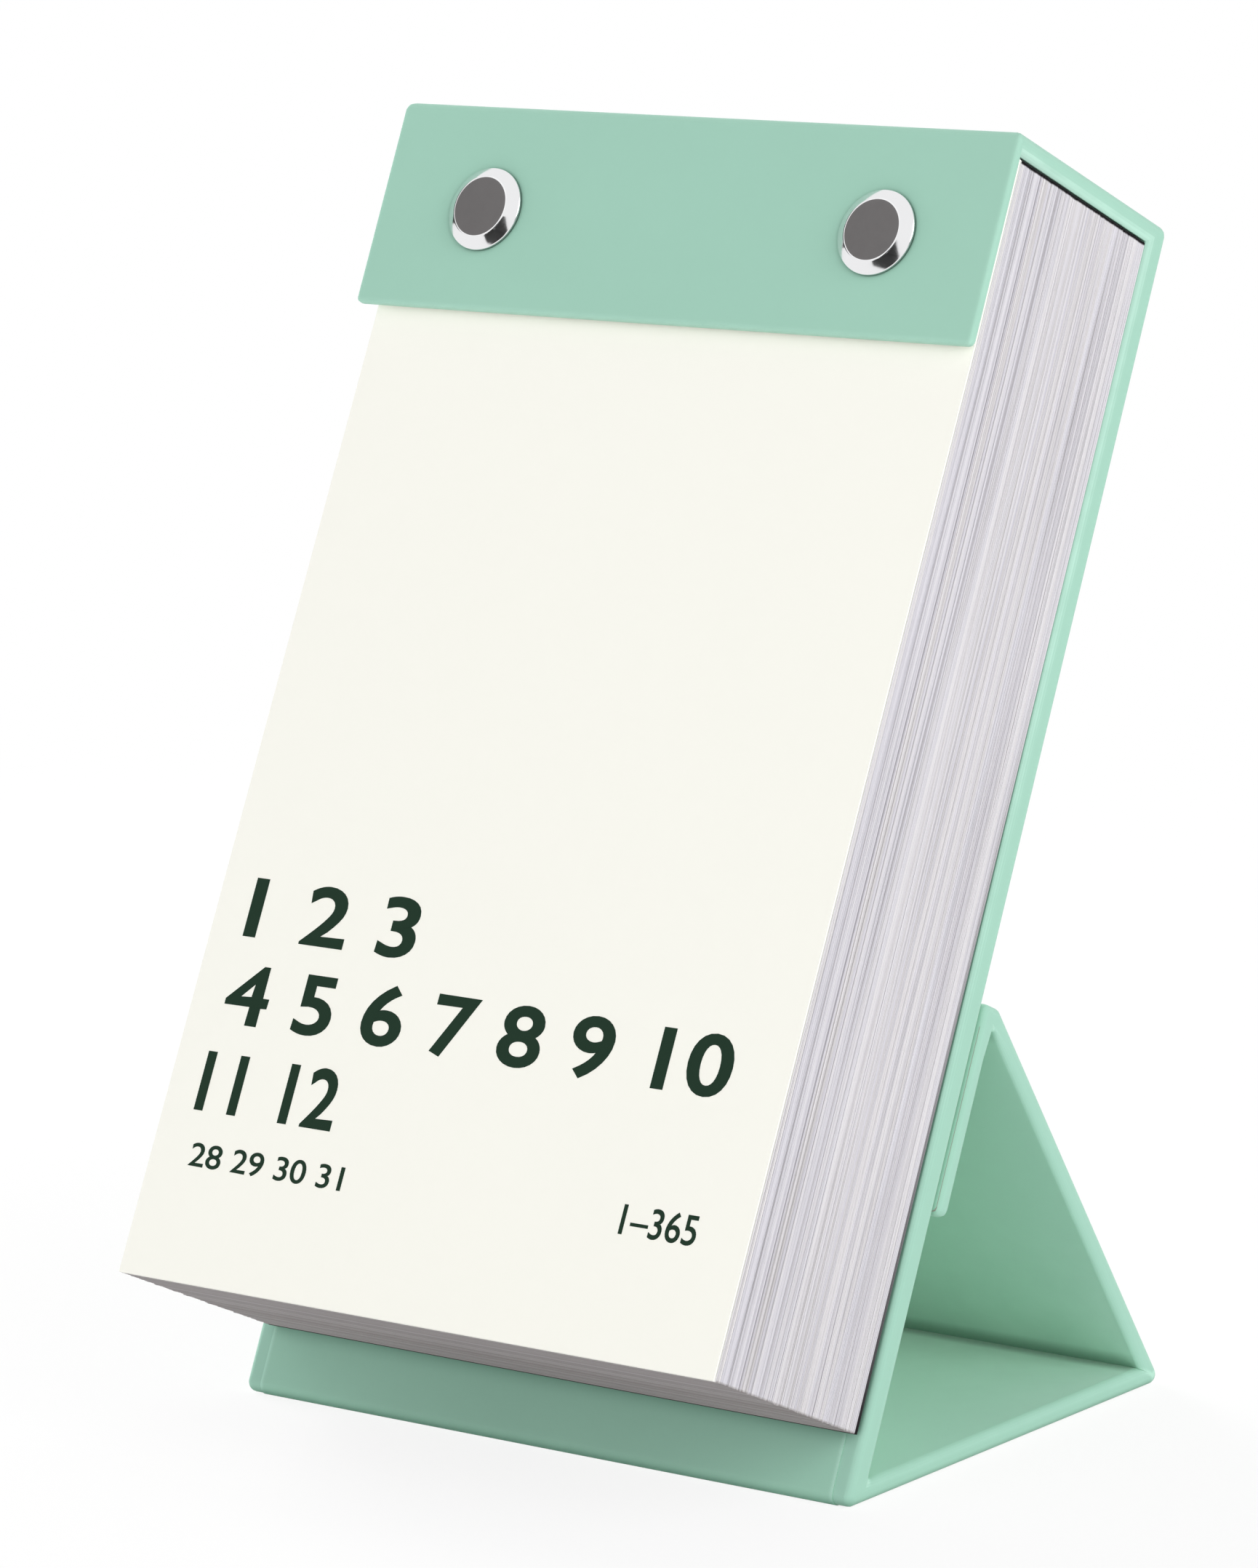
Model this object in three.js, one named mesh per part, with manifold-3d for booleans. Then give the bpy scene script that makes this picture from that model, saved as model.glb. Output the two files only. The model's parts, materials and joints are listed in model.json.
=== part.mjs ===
// Desk calendar: a tear-off block of daily sheets, bound by two posts into a folded, covered board case.
// Millimetres, +Z up, +X to the viewer's right, the page face looks towards -Y and leans back.
// The case is one covered strip: front flap, spine, back, foot, strut and tab. The last three make the stand.

import * as THREE from 'three';
import { mergeVertices } from 'three/addons/utils/BufferGeometryUtils.js';
import Module from 'manifold-3d';

const wasm = await Module();
wasm.setup();

// Case: overall sizes
const CASE_WIDTH = 95;
const LEAN = THREE.MathUtils.degToRad(65);
const BACK_LENGTH = 164;
const FLAP_HEIGHT = 27.2;
const FOOT_DEPTH = 68.7;
const RIDGE_UP_BACK = 61.8;
const TAB_LENGTH = 24;

// Case: thicknesses of the covered panels
const BACK_THICKNESS = 3.6;
const SPINE_THICKNESS = 2.8;
const FLAP_THICKNESS = 1.3;
const STAND_THICKNESS = 2.8;

// Case: covering
const PAPER = 0.2;
const GLUE = 0.2;
const BARE_TURN_IN = 2.5;
const LINER_MARGIN = 0.2;
const EDGE_ROUND = 1.2;
const CORNER_ROUND = 1;
const FOLD_GAP = 0.25;
const FLOOR_EDGE_ROUND = 2.2;
const RIDGE_EDGE_ROUND = 1;
const TAB_GAP = 0.3;

// Block of sheets
const PAGE_WIDTH = 92;
const PAGE_HEIGHT = 151.5;
const SHEET = 0.075;
const COVER_SHEET = 0.25;
const PACK_GAP = 0.2;
const BLOCK_TO_BACK = 0.3;
const BLOCK_TO_SPINE = 0.3;
const BLOCK_TO_FLAP = 0.5;
const BLOCK_OFF_CENTRE = 0.9;
const FRONT_FAN = 1.9;
const REAR_FAN = 0.5;
const FAN_START_BELOW_FLAP = 1;
const CREASE_BELOW_FLAP = 2.7;
const CREASE_GAP = 0.25;
const MONTH_DAYS = {
  january: 31, february: 28, march: 31, april: 30, may: 31, june: 30,
  july: 31, august: 31, september: 30, october: 31, november: 30, december: 31,
};

// Binding posts and screws
const POST_SPACING = 60.5;
const POST_BELOW_TOP = 14;
const CAP_DIAMETER = 11;
const CAP_FLAT_DIAMETER = 7.9;
const CAP_RIM = 0.5;
const CAP_HEIGHT = 1.2;
const BARREL_DIAMETER = 5;
const BARREL_BORE = 4.2;
const BARREL_BORE_DEPTH = 14;
const SHANK_DIAMETER = 3.9;
const SHANK_LENGTH = 11;
const SCREW_HEAD_DIAMETER = 9.5;
const SCREW_HEAD_HEIGHT = 1.4;
const SLOT_WIDTH = 1.2;
const SLOT_DEPTH = 0.7;
const HOLE_CLEARANCE = 0.3;
const SEAT_GAP = 0.2;
const ROUND_STEPS = 40;

// Magnets that hold the tab to the back
const MAGNET_DIAMETER = 8;
const MAGNET_THICKNESS = 1;
const MAGNET_SPACING = 50;
const MAGNET_CLEARANCE = 0.15;

// Values worked out from the sizes above
const WRAP = PAPER + GLUE;
const HALF_WIDTH = CASE_WIDTH / 2;
const HALF_TURN = Math.PI;
const FAR = 400;
const sheetCount = Object.values(MONTH_DAYS).reduce((sum, days) => sum + days, 0);
const packCount = Object.keys(MONTH_DAYS).length;
const blockFront = BLOCK_TO_BACK + sheetCount * SHEET + packCount * PACK_GAP + COVER_SHEET;
const flapRear = blockFront + BLOCK_TO_FLAP;
const flapFront = flapRear + FLAP_THICKNESS;
const flapBottom = BACK_LENGTH - FLAP_HEIGHT;
const spineUnderside = BACK_LENGTH - SPINE_THICKNESS;
const pageTop = spineUnderside - BLOCK_TO_SPINE;
const pageBottom = pageTop - PAGE_HEIGHT;
const postHeight = BACK_LENGTH - POST_BELOW_TOP;
const creaseHeight = flapBottom - CREASE_BELOW_FLAP;

// Side view of the stand, as Y and Z from the line where the back's front face would meet the table.
// Each fold turns about its hinge line: where the inner faces meet at the floor and at the ridge,
// and half a thickness in from both outer faces at the rear.
const alongBack = (up, behind) => new THREE.Vector2(
  up * Math.cos(LEAN) + behind * Math.sin(LEAN),
  up * Math.sin(LEAN) - behind * Math.cos(LEAN),
);
const backStart = (STAND_THICKNESS + BACK_THICKNESS * Math.cos(LEAN)) / Math.sin(LEAN);
const floorHinge = alongBack(backStart, BACK_THICKNESS);
const rearHinge = new THREE.Vector2(FOOT_DEPTH - STAND_THICKNESS / 2, STAND_THICKNESS / 2);
const ridgeHinge = alongBack(RIDGE_UP_BACK, BACK_THICKNESS + TAB_GAP + STAND_THICKNESS);
const ridgeFromRear = ridgeHinge.clone().sub(rearHinge);
const strutLength = Math.sqrt(ridgeFromRear.lengthSq() - (STAND_THICKNESS / 2) ** 2);
const strutAngle = ridgeFromRear.angle() - Math.atan2(STAND_THICKNESS / 2, strutLength);
const tabAngle = LEAN + HALF_TURN;
const baseLength = rearHinge.x - floorHinge.x;

const PAPER_MINT = { color: 0x9fcdb9, roughness: 0.72, metalness: 0 };
const LINER_MINT = { color: 0x9acab5, roughness: 0.75, metalness: 0 };
const GREYBOARD = { color: 0x8f8a82, roughness: 0.95, metalness: 0 };
const SHEET_WHITE = { color: 0xe4e2e6, roughness: 0.85, metalness: 0 };
const COVER_WHITE = { color: 0xfaf9f0, roughness: 0.7, metalness: 0 };
const CHROME = { color: 0xc9cbcd, roughness: 0.15, metalness: 1 };
const MAGNET_GREY = { color: 0x6d7073, roughness: 0.35, metalness: 0.9 };

// Closed solid from a three.js geometry
function solid(geometry) {
  const bare = geometry.clone();
  bare.deleteAttribute('normal');
  bare.deleteAttribute('uv');
  const merged = mergeVertices(bare);
  return new wasm.Manifold(new wasm.Mesh({
    numProp: 3,
    vertProperties: new Float32Array(merged.attributes.position.array),
    triVerts: new Uint32Array(merged.index.array),
  }));
}

// Named mesh with flat shading from a solid
function piece(name, shape, finish) {
  const mesh = shape.getMesh();
  const geometry = new THREE.BufferGeometry();
  geometry.setAttribute('position', new THREE.BufferAttribute(mesh.vertProperties, mesh.numProp));
  geometry.setIndex(new THREE.BufferAttribute(mesh.triVerts, 1));
  geometry.computeVertexNormals();
  const result = new THREE.Mesh(geometry, new THREE.MeshStandardMaterial({ ...finish, flatShading: true }));
  result.name = name;
  return result;
}

// Box between two limits on each axis
function box([x0, x1], [y0, y1], [z0, z1]) {
  const geometry = new THREE.BoxGeometry(x1 - x0, y1 - y0, z1 - z0);
  return solid(geometry.translate((x0 + x1) / 2, (y0 + y1) / 2, (z0 + z1) / 2));
}

// Round bar along Y
function barAlongY(diameter, x, z, [y0, y1]) {
  const geometry = new THREE.CylinderGeometry(diameter / 2, diameter / 2, y1 - y0, ROUND_STEPS);
  return solid(geometry.translate(x, (y0 + y1) / 2, z));
}

// Side-view profile, in Y and Z, as wide as the piece is across
function acrossX(profile, width) {
  const geometry = new THREE.ExtrudeGeometry(profile, {
    depth: width,
    bevelEnabled: false,
    curveSegments: 8,
  });
  const turn = new THREE.Matrix4().makeBasis(
    new THREE.Vector3(0, 1, 0),
    new THREE.Vector3(0, 0, 1),
    new THREE.Vector3(1, 0, 0),
  );
  return solid(geometry.applyMatrix4(turn).translate(-width / 2, 0, 0));
}

// Closed outline through the given corners, each with its own rounding (0 is sharp)
function roundedOutline(corners) {
  const shape = new THREE.Shape();
  corners.forEach(({ at, round }, index) => {
    const before = corners.at(index - 1).at;
    const after = corners.at((index + 1) % corners.length).at;
    const entry = at.clone().add(before.clone().sub(at).setLength(round));
    const exit = at.clone().add(after.clone().sub(at).setLength(round));
    if (index === 0) shape.moveTo(entry.x, entry.y);
    else shape.lineTo(entry.x, entry.y);
    if (round > 0) shape.quadraticCurveTo(at.x, at.y, exit.x, exit.y);
  });
  shape.closePath();
  return shape;
}

const corner = (y, z, round = 0) => ({ at: new THREE.Vector2(y, z), round });
const sharpOutline = (points) => roundedOutline(points.map(([y, z]) => corner(y, z)));
const across = (inset) => [-HALF_WIDTH + inset, HALF_WIDTH - inset];

// Plate whose two far corners, at the high end of Y, are rounded
function endRoundedPlate(inset, [y0, y1], [z0, z1], round) {
  const [left, right] = across(inset);
  const outline = roundedOutline([
    corner(left, y0),
    corner(right, y0),
    corner(right, y1, round),
    corner(left, y1, round),
  ]);
  const geometry = new THREE.ExtrudeGeometry(outline, {
    depth: z1 - z0,
    bevelEnabled: false,
    curveSegments: 6,
  });
  return solid(geometry.translate(0, 0, z0));
}

// Covered panel of the stand: board, covering paper turned in round both sides, and liner.
// It lies along Y from start to end, its inner face at Z = top and its lined face below.
// A free end is covered too, with rounded corners.
function coveredPanel({ start, end, top, freeEnd = false, cutters = [], pockets = [] }) {
  const bottom = top - STAND_THICKNESS;
  const open = freeEnd ? 0 : 1;
  const round = freeEnd ? CORNER_ROUND : 0;
  const through = [start - 1, end + open];
  const inset = (shift) => (freeEnd ? shift : 0);
  const layer = (shift, reach) => endRoundedPlate(
    shift,
    [reach[0], reach[1] - inset(shift)],
    [bottom + shift, top - shift],
    round - inset(shift),
  );
  const outer = layer(0, [start, end]);
  const hollow = layer(PAPER, through);
  const board = layer(WRAP, [start, end]);
  const window = box(
    across(BARE_TURN_IN),
    [through[0], through[1] - inset(BARE_TURN_IN)],
    [bottom - 1, bottom + WRAP],
  );
  const liner = box(
    across(BARE_TURN_IN + LINER_MARGIN),
    [start, end - inset(BARE_TURN_IN + LINER_MARGIN)],
    [bottom, bottom + PAPER],
  );
  const trim = (shape, tools) => tools.reduce((rest, tool) => rest.subtract(tool), shape);
  return {
    board: trim(board, [...cutters, ...pockets]),
    paper: trim(outer.subtract(hollow).subtract(window), cutters),
    liner: trim(liner, cutters),
  };
}

// What the rear fold leaves free on one panel: a round relief about the hinge and everything past the mitre.
// The panel runs towards the hinge at (0, hingeY, hingeZ) or away from it.
function rearFoldCutters(hingeY, hingeZ, towardsHinge) {
  const mitre = (HALF_TURN - strutAngle) / 2;
  const relief = new THREE.CylinderGeometry(
    STAND_THICKNESS / 2 + FOLD_GAP,
    STAND_THICKNESS / 2 + FOLD_GAP,
    CASE_WIDTH + 2,
    ROUND_STEPS,
  ).rotateZ(HALF_TURN / 2).translate(0, hingeY, hingeZ);
  const beyond = new THREE.BoxGeometry(CASE_WIDTH + 2, FAR, STAND_THICKNESS * 4)
    .translate(0, 0, STAND_THICKNESS * 2 - FOLD_GAP / 2)
    .rotateX(towardsHinge ? -mitre : mitre)
    .translate(0, hingeY, hingeZ);
  return [solid(relief), solid(beyond)];
}

// Case: one cover over flap, spine and back, in the back's own frame (Y behind its front face, Z up along it)
function makeCase() {
  const bottom = backStart + FOLD_GAP;
  const backDepth = [0, BACK_THICKNESS];
  const spineReach = [-flapFront, BACK_THICKNESS];
  const flapDepth = [-flapFront, -flapRear];
  const upright = (inset, [low, high], depth, round) => endRoundedPlate(inset, [-high, -low], depth, round)
    .rotate([-90, 0, 0]);
  const envelope = acrossX(roundedOutline([
    corner(-flapFront, bottom - 1),
    corner(BACK_THICKNESS, bottom - 1),
    corner(BACK_THICKNESS, BACK_LENGTH, EDGE_ROUND),
    corner(-flapFront, BACK_LENGTH, EDGE_ROUND),
  ]), CASE_WIDTH);

  const backBoardTop = spineUnderside - GLUE;
  const flapCardTop = BACK_LENGTH - EDGE_ROUND;
  const spineBoardReach = [-flapRear + GLUE, BACK_THICKNESS - EDGE_ROUND];
  const grow = ([low, high], by) => [low - by, high + by];
  const shrink = ([low, high], by) => [low + by, high - by];

  const backBoard = box(across(WRAP), shrink(backDepth, WRAP), [bottom, backBoardTop]);
  const backHollow = box(across(PAPER), shrink(backDepth, PAPER), [bottom - 1, backBoardTop + GLUE]);
  const spineBoard = box(across(WRAP), spineBoardReach, shrink([spineUnderside, BACK_LENGTH], WRAP));
  const spineHollow = box(
    across(PAPER),
    grow(spineBoardReach, GLUE),
    shrink([spineUnderside, BACK_LENGTH], PAPER),
  );
  const flapCard = upright(
    WRAP,
    [flapBottom + WRAP, flapCardTop],
    shrink(flapDepth, WRAP),
    CORNER_ROUND - WRAP,
  );
  const flapHollow = upright(
    PAPER,
    [flapBottom + PAPER, flapCardTop + GLUE],
    shrink(flapDepth, PAPER),
    CORNER_ROUND - PAPER,
  );

  const spineWindowReach = [-flapRear + LINER_MARGIN, -LINER_MARGIN];
  const flapWindowTall = [flapBottom + BARE_TURN_IN, spineUnderside - LINER_MARGIN];
  const backWindow = box(across(BARE_TURN_IN), [-1, WRAP], [bottom - 1, spineUnderside - LINER_MARGIN]);
  const spineWindow = box(
    across(BARE_TURN_IN),
    spineWindowReach,
    [spineUnderside - 1, spineUnderside + WRAP],
  );
  const flapWindow = box(across(BARE_TURN_IN), [-flapRear - WRAP, -flapRear + 1], flapWindowTall);

  const backLiner = box(
    across(BARE_TURN_IN + LINER_MARGIN),
    [0, PAPER],
    [bottom, spineUnderside - 2 * LINER_MARGIN],
  );
  const spineLiner = box(
    across(BARE_TURN_IN + LINER_MARGIN),
    shrink(spineWindowReach, LINER_MARGIN),
    [spineUnderside, spineUnderside + PAPER],
  );
  const flapLiner = box(
    across(BARE_TURN_IN + LINER_MARGIN),
    [-flapRear - PAPER, -flapRear],
    shrink(flapWindowTall, LINER_MARGIN),
  );

  const drill = (shape) => postHoles().reduce((rest, hole) => rest.subtract(hole), shape);
  const pockets = magnetPlaces().map((x) => barAlongY(
    MAGNET_DIAMETER + 2 * MAGNET_CLEARANCE,
    x,
    tabMiddleUpBack(),
    [BACK_THICKNESS - WRAP - MAGNET_THICKNESS - MAGNET_CLEARANCE, BACK_THICKNESS],
  ));
  const cover = box(across(0), backDepth, [bottom, BACK_LENGTH])
    .add(box(across(0), spineReach, [spineUnderside, BACK_LENGTH]))
    .add(upright(0, [flapBottom, BACK_LENGTH], flapDepth, CORNER_ROUND))
    .intersect(envelope)
    .subtract(backHollow).subtract(spineHollow).subtract(flapHollow)
    .subtract(backWindow).subtract(spineWindow).subtract(flapWindow);
  const boardWithPockets = pockets.reduce((rest, pocket) => rest.subtract(pocket), backBoard);
  return [
    piece('case_paper', drill(cover), PAPER_MINT),
    piece('back_board', drill(boardWithPockets), GREYBOARD),
    piece('spine_board', spineBoard, GREYBOARD),
    piece('flap_card', drill(flapCard), GREYBOARD),
    piece('back_liner', drill(backLiner), LINER_MINT),
    piece('spine_liner', spineLiner, LINER_MINT),
    piece('flap_liner', drill(flapLiner), LINER_MINT),
  ];
}

const magnetPlaces = () => [-MAGNET_SPACING / 2, MAGNET_SPACING / 2];
const tabMiddleUpBack = () => RIDGE_UP_BACK - TAB_LENGTH / 2;
const postPlaces = () => ({ left: -POST_SPACING / 2, right: POST_SPACING / 2 });
const postHoles = () => Object.values(postPlaces()).map((x) => barAlongY(
  BARREL_DIAMETER + 2 * HOLE_CLEARANCE,
  x,
  postHeight,
  [-flapFront - 1, BACK_THICKNESS + 1],
));

// Magnet disc with its flat faces along Y
function magnet(name, x, z, [y0, y1]) {
  return piece(name, barAlongY(MAGNET_DIAMETER, x, z, [y0, y1]), MAGNET_GREY);
}

function makeBackMagnets() {
  const depth = [BACK_THICKNESS - WRAP - MAGNET_THICKNESS, BACK_THICKNESS - WRAP];
  const [left, right] = magnetPlaces();
  return [
    magnet('back_magnet_left', left, tabMiddleUpBack(), depth),
    magnet('back_magnet_right', right, tabMiddleUpBack(), depth),
  ];
}

// Block: every pack is bound flat under the flap and fans out a little towards its free end
function makeBlock() {
  const fanStart = flapBottom - FAN_START_BELOW_FLAP;
  const fanned = (height) => Math.max(0, (fanStart - height) / (fanStart - pageBottom));
  const layer = (rear, front, [low, high]) => {
    const share = (depth) => (depth - BLOCK_TO_BACK) / (blockFront - BLOCK_TO_BACK);
    const fan = (depth) => REAR_FAN + (FRONT_FAN - REAR_FAN) * share(depth);
    const face = (depth, height) => [-depth - fanned(height) * fan(depth), height];
    const knee = Math.min(Math.max(fanStart, low), high);
    const stops = [low, knee, high].filter((height, index, all) => height !== all[index - 1]);
    const rearSide = stops.map((height) => face(rear, height));
    const frontSide = stops.map((height) => face(front, height)).reverse();
    const outline = sharpOutline([...rearSide, ...frontSide]);
    const shape = acrossX(outline, PAGE_WIDTH).translate([BLOCK_OFF_CENTRE, 0, 0]);
    return high > postHeight ? postHoles().reduce((rest, hole) => rest.subtract(hole), shape) : shape;
  };
  const pieces = [];
  let front = blockFront - COVER_SHEET;
  const stub = layer(front, blockFront, [creaseHeight + CREASE_GAP, pageTop]);
  const leaf = layer(front, blockFront, [pageBottom, creaseHeight]);
  pieces.push(piece('cover_stub', stub, COVER_WHITE), piece('cover_leaf', leaf, COVER_WHITE));
  for (const [month, days] of Object.entries(MONTH_DAYS)) {
    front -= PACK_GAP;
    const rear = front - days * SHEET;
    pieces.push(piece(`sheets_${month}`, layer(rear, front, [pageBottom, pageTop]), SHEET_WHITE));
    front = rear;
  }
  return pieces;
}

// Binding: the post comes from the front, the slotted screw closes it from behind
function makeBinding() {
  const capRear = -flapFront - SEAT_GAP;
  const capFront = capRear - CAP_HEIGHT;
  const barrelEnd = BACK_THICKNESS - SEAT_GAP;
  const headFront = BACK_THICKNESS + SEAT_GAP;
  const headRear = headFront + SCREW_HEAD_HEIGHT;
  const turned = (points) => solid(new THREE.LatheGeometry(
    points.map(([radius, y]) => new THREE.Vector2(radius, y)),
    ROUND_STEPS,
  ));
  const post = turned([
    [0, capFront],
    [CAP_FLAT_DIAMETER / 2, capFront],
    [CAP_DIAMETER / 2, capRear - CAP_RIM],
    [CAP_DIAMETER / 2, capRear],
    [BARREL_DIAMETER / 2, capRear],
    [BARREL_DIAMETER / 2, barrelEnd],
    [BARREL_BORE / 2, barrelEnd],
    [BARREL_BORE / 2, barrelEnd - BARREL_BORE_DEPTH],
    [0, barrelEnd - BARREL_BORE_DEPTH],
  ]);
  const headEdge = SCREW_HEAD_HEIGHT / 3;
  const screw = turned([
    [0, headFront - SHANK_LENGTH],
    [SHANK_DIAMETER / 2, headFront - SHANK_LENGTH],
    [SHANK_DIAMETER / 2, headFront],
    [SCREW_HEAD_DIAMETER / 2, headFront],
    [SCREW_HEAD_DIAMETER / 2, headRear - headEdge],
    [SCREW_HEAD_DIAMETER / 2 - headEdge, headRear],
    [0, headRear],
  ]).subtract(box(
    [-SCREW_HEAD_DIAMETER, SCREW_HEAD_DIAMETER],
    [headRear - SLOT_DEPTH, headRear + 1],
    [-SLOT_WIDTH / 2, SLOT_WIDTH / 2],
  ));
  return Object.entries(postPlaces()).flatMap(([side, x]) => [
    piece(`post_${side}`, post.translate([x, 0, postHeight]), CHROME),
    piece(`screw_${side}`, screw.translate([x, 0, postHeight]), CHROME),
  ]);
}

// Fold between back and foot: it fills the corner on the table, in front of the hinge line
function makeFloorFold() {
  const frontFace = alongBack(backStart, 0);
  return piece('floor_fold', acrossX(roundedOutline([
    corner(floorHinge.x, floorHinge.y),
    corner(frontFace.x, frontFace.y),
    corner(0, 0, FLOOR_EDGE_ROUND),
    corner(floorHinge.x, 0),
  ]), CASE_WIDTH), PAPER_MINT);
}

// Fold over the ridge, in the tab's frame: a flat cap between the tab's front face and the strut's outer face
function makeRidgeFold() {
  const strutNormal = strutAngle - HALF_TURN / 2 - tabAngle;
  const strutFace = new THREE.Vector2(Math.cos(strutNormal), Math.sin(strutNormal))
    .multiplyScalar(STAND_THICKNESS);
  const capHeight = STAND_THICKNESS;
  const capCorner = (STAND_THICKNESS + capHeight * Math.cos(strutNormal)) / Math.sin(strutNormal);
  return piece('ridge_fold', acrossX(roundedOutline([
    corner(0, 0),
    corner(strutFace.x, strutFace.y),
    corner(-capHeight, capCorner, RIDGE_EDGE_ROUND / 2),
    corner(-capHeight, -STAND_THICKNESS, RIDGE_EDGE_ROUND),
    corner(0, -STAND_THICKNESS),
  ]), CASE_WIDTH), PAPER_MINT);
}

// Fold at the rear of the foot: a covered bead about its hinge line
function makeRearFold() {
  const bead = new THREE.CylinderGeometry(STAND_THICKNESS / 2, STAND_THICKNESS / 2, CASE_WIDTH, ROUND_STEPS)
    .rotateZ(HALF_TURN / 2);
  return piece('rear_fold', solid(bead), PAPER_MINT);
}

function panelPieces(prefix, { board, paper, liner }) {
  return [
    piece(`${prefix}_board`, board, GREYBOARD),
    piece(`${prefix}_paper`, paper, PAPER_MINT),
    piece(`${prefix}_liner`, liner, LINER_MINT),
  ];
}

// Stand: foot, strut and tab, each in a group on its hinge line
function makeStand() {
  const half = STAND_THICKNESS / 2;
  const base = new THREE.Group();
  base.position.set(0, floorHinge.x, floorHinge.y);
  base.add(...panelPieces('base', coveredPanel({
    start: FOLD_GAP,
    end: baseLength,
    top: 0,
    cutters: rearFoldCutters(baseLength, -half, true),
  })));

  const rear = new THREE.Group();
  rear.position.set(0, baseLength, -half);
  rear.add(makeRearFold());
  base.add(rear);

  const strut = new THREE.Group();
  strut.rotation.x = strutAngle;
  strut.add(...panelPieces('strut', coveredPanel({
    start: 0,
    end: strutLength - FOLD_GAP,
    top: half,
    cutters: rearFoldCutters(0, 0, false),
  })));
  rear.add(strut);

  const tab = new THREE.Group();
  tab.position.set(0, strutLength, half);
  tab.rotation.x = tabAngle - strutAngle;
  const magnetDepth = [-STAND_THICKNESS + WRAP, -STAND_THICKNESS + WRAP + MAGNET_THICKNESS];
  const disc = (x, growth, [z0, z1]) => barAlongY(MAGNET_DIAMETER + growth, x, 0, [z0, z1])
    .rotate([90, 0, 0])
    .translate([0, TAB_LENGTH / 2, 0]);
  tab.add(...panelPieces('tab', coveredPanel({
    start: FOLD_GAP,
    end: TAB_LENGTH,
    top: 0,
    freeEnd: true,
    pockets: magnetPlaces().map((x) => disc(
      x,
      2 * MAGNET_CLEARANCE,
      [-STAND_THICKNESS, magnetDepth[1] + MAGNET_CLEARANCE],
    )),
  })));
  const [left, right] = magnetPlaces();
  tab.add(piece('tab_magnet_left', disc(left, 0, magnetDepth), MAGNET_GREY));
  tab.add(piece('tab_magnet_right', disc(right, 0, magnetDepth), MAGNET_GREY));
  tab.add(makeRidgeFold());
  strut.add(tab);
  return base;
}

const leaning = new THREE.Group();
leaning.rotation.x = LEAN - HALF_TURN / 2;
leaning.add(...makeCase(), ...makeBackMagnets(), ...makeBlock(), ...makeBinding());

const calendar = new THREE.Group();
calendar.add(leaning, makeFloorFold(), makeStand());

// The origin is on the table, at the middle of the calendar's footprint box
calendar.updateMatrixWorld(true);
const bounds = new THREE.Box3().setFromObject(calendar, true);
calendar.position.set(0, -(bounds.min.y + bounds.max.y) / 2, -bounds.min.z);
calendar.updateMatrixWorld(true);

export default calendar;
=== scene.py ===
"""Looks of a tear-off desk calendar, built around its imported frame.

The case is one paper-covered strip: flap, spine, back, foot, strut and tab. Its covers are made from
the strip's side view, which is worked out from the frame's hinge lines, and swept across the width.
Sizes are written in millimetres and become metres when a piece is finished.
"""

import json
import logging
import math
import random
from collections.abc import Callable, Iterable, Sequence
from dataclasses import dataclass, field
from enum import Enum

import bmesh
import bpy
from mathutils import Matrix, Vector, noise


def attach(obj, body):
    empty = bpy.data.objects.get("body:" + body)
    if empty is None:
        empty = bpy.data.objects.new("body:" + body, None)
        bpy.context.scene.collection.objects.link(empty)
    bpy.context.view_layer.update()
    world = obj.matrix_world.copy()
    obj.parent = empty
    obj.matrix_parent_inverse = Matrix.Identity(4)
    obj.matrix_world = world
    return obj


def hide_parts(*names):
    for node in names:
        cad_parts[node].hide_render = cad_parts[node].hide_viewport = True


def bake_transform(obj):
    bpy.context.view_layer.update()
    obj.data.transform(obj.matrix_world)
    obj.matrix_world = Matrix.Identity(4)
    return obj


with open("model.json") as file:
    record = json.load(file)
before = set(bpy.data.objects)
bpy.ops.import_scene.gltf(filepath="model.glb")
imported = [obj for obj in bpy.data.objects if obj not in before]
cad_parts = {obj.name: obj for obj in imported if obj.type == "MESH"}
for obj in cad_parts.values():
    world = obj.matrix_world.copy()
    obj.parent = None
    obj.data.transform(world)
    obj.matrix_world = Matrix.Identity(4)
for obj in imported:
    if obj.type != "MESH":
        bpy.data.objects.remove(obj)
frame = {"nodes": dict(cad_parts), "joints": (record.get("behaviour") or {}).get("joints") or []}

MM = 0.001
SEED = 27
CLOSE = 0.001
EDGE_SEGMENTS = 5
JOINTS = {joint["name"]: joint for joint in frame["joints"]}
log = logging.getLogger("calendar")

Color = tuple[float, float, float]
Point = tuple[float, float]
Socket = bpy.types.NodeSocket
Material = bpy.types.Material
Piece = bpy.types.Object
Mesh = bmesh.types.BMesh


class Body(Enum):
    """The bodies that pieces ride on."""

    CASE = "case"
    BASE = "base"
    STRUT = "strut"
    TAB = "tab"
    COVER = "cover"
    SCREW_LEFT = "screw_left"
    SCREW_RIGHT = "screw_right"


class Side(Enum):
    """The two binding posts, by their place along X."""

    LEFT = "left"
    RIGHT = "right"


# Finishes


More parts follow.
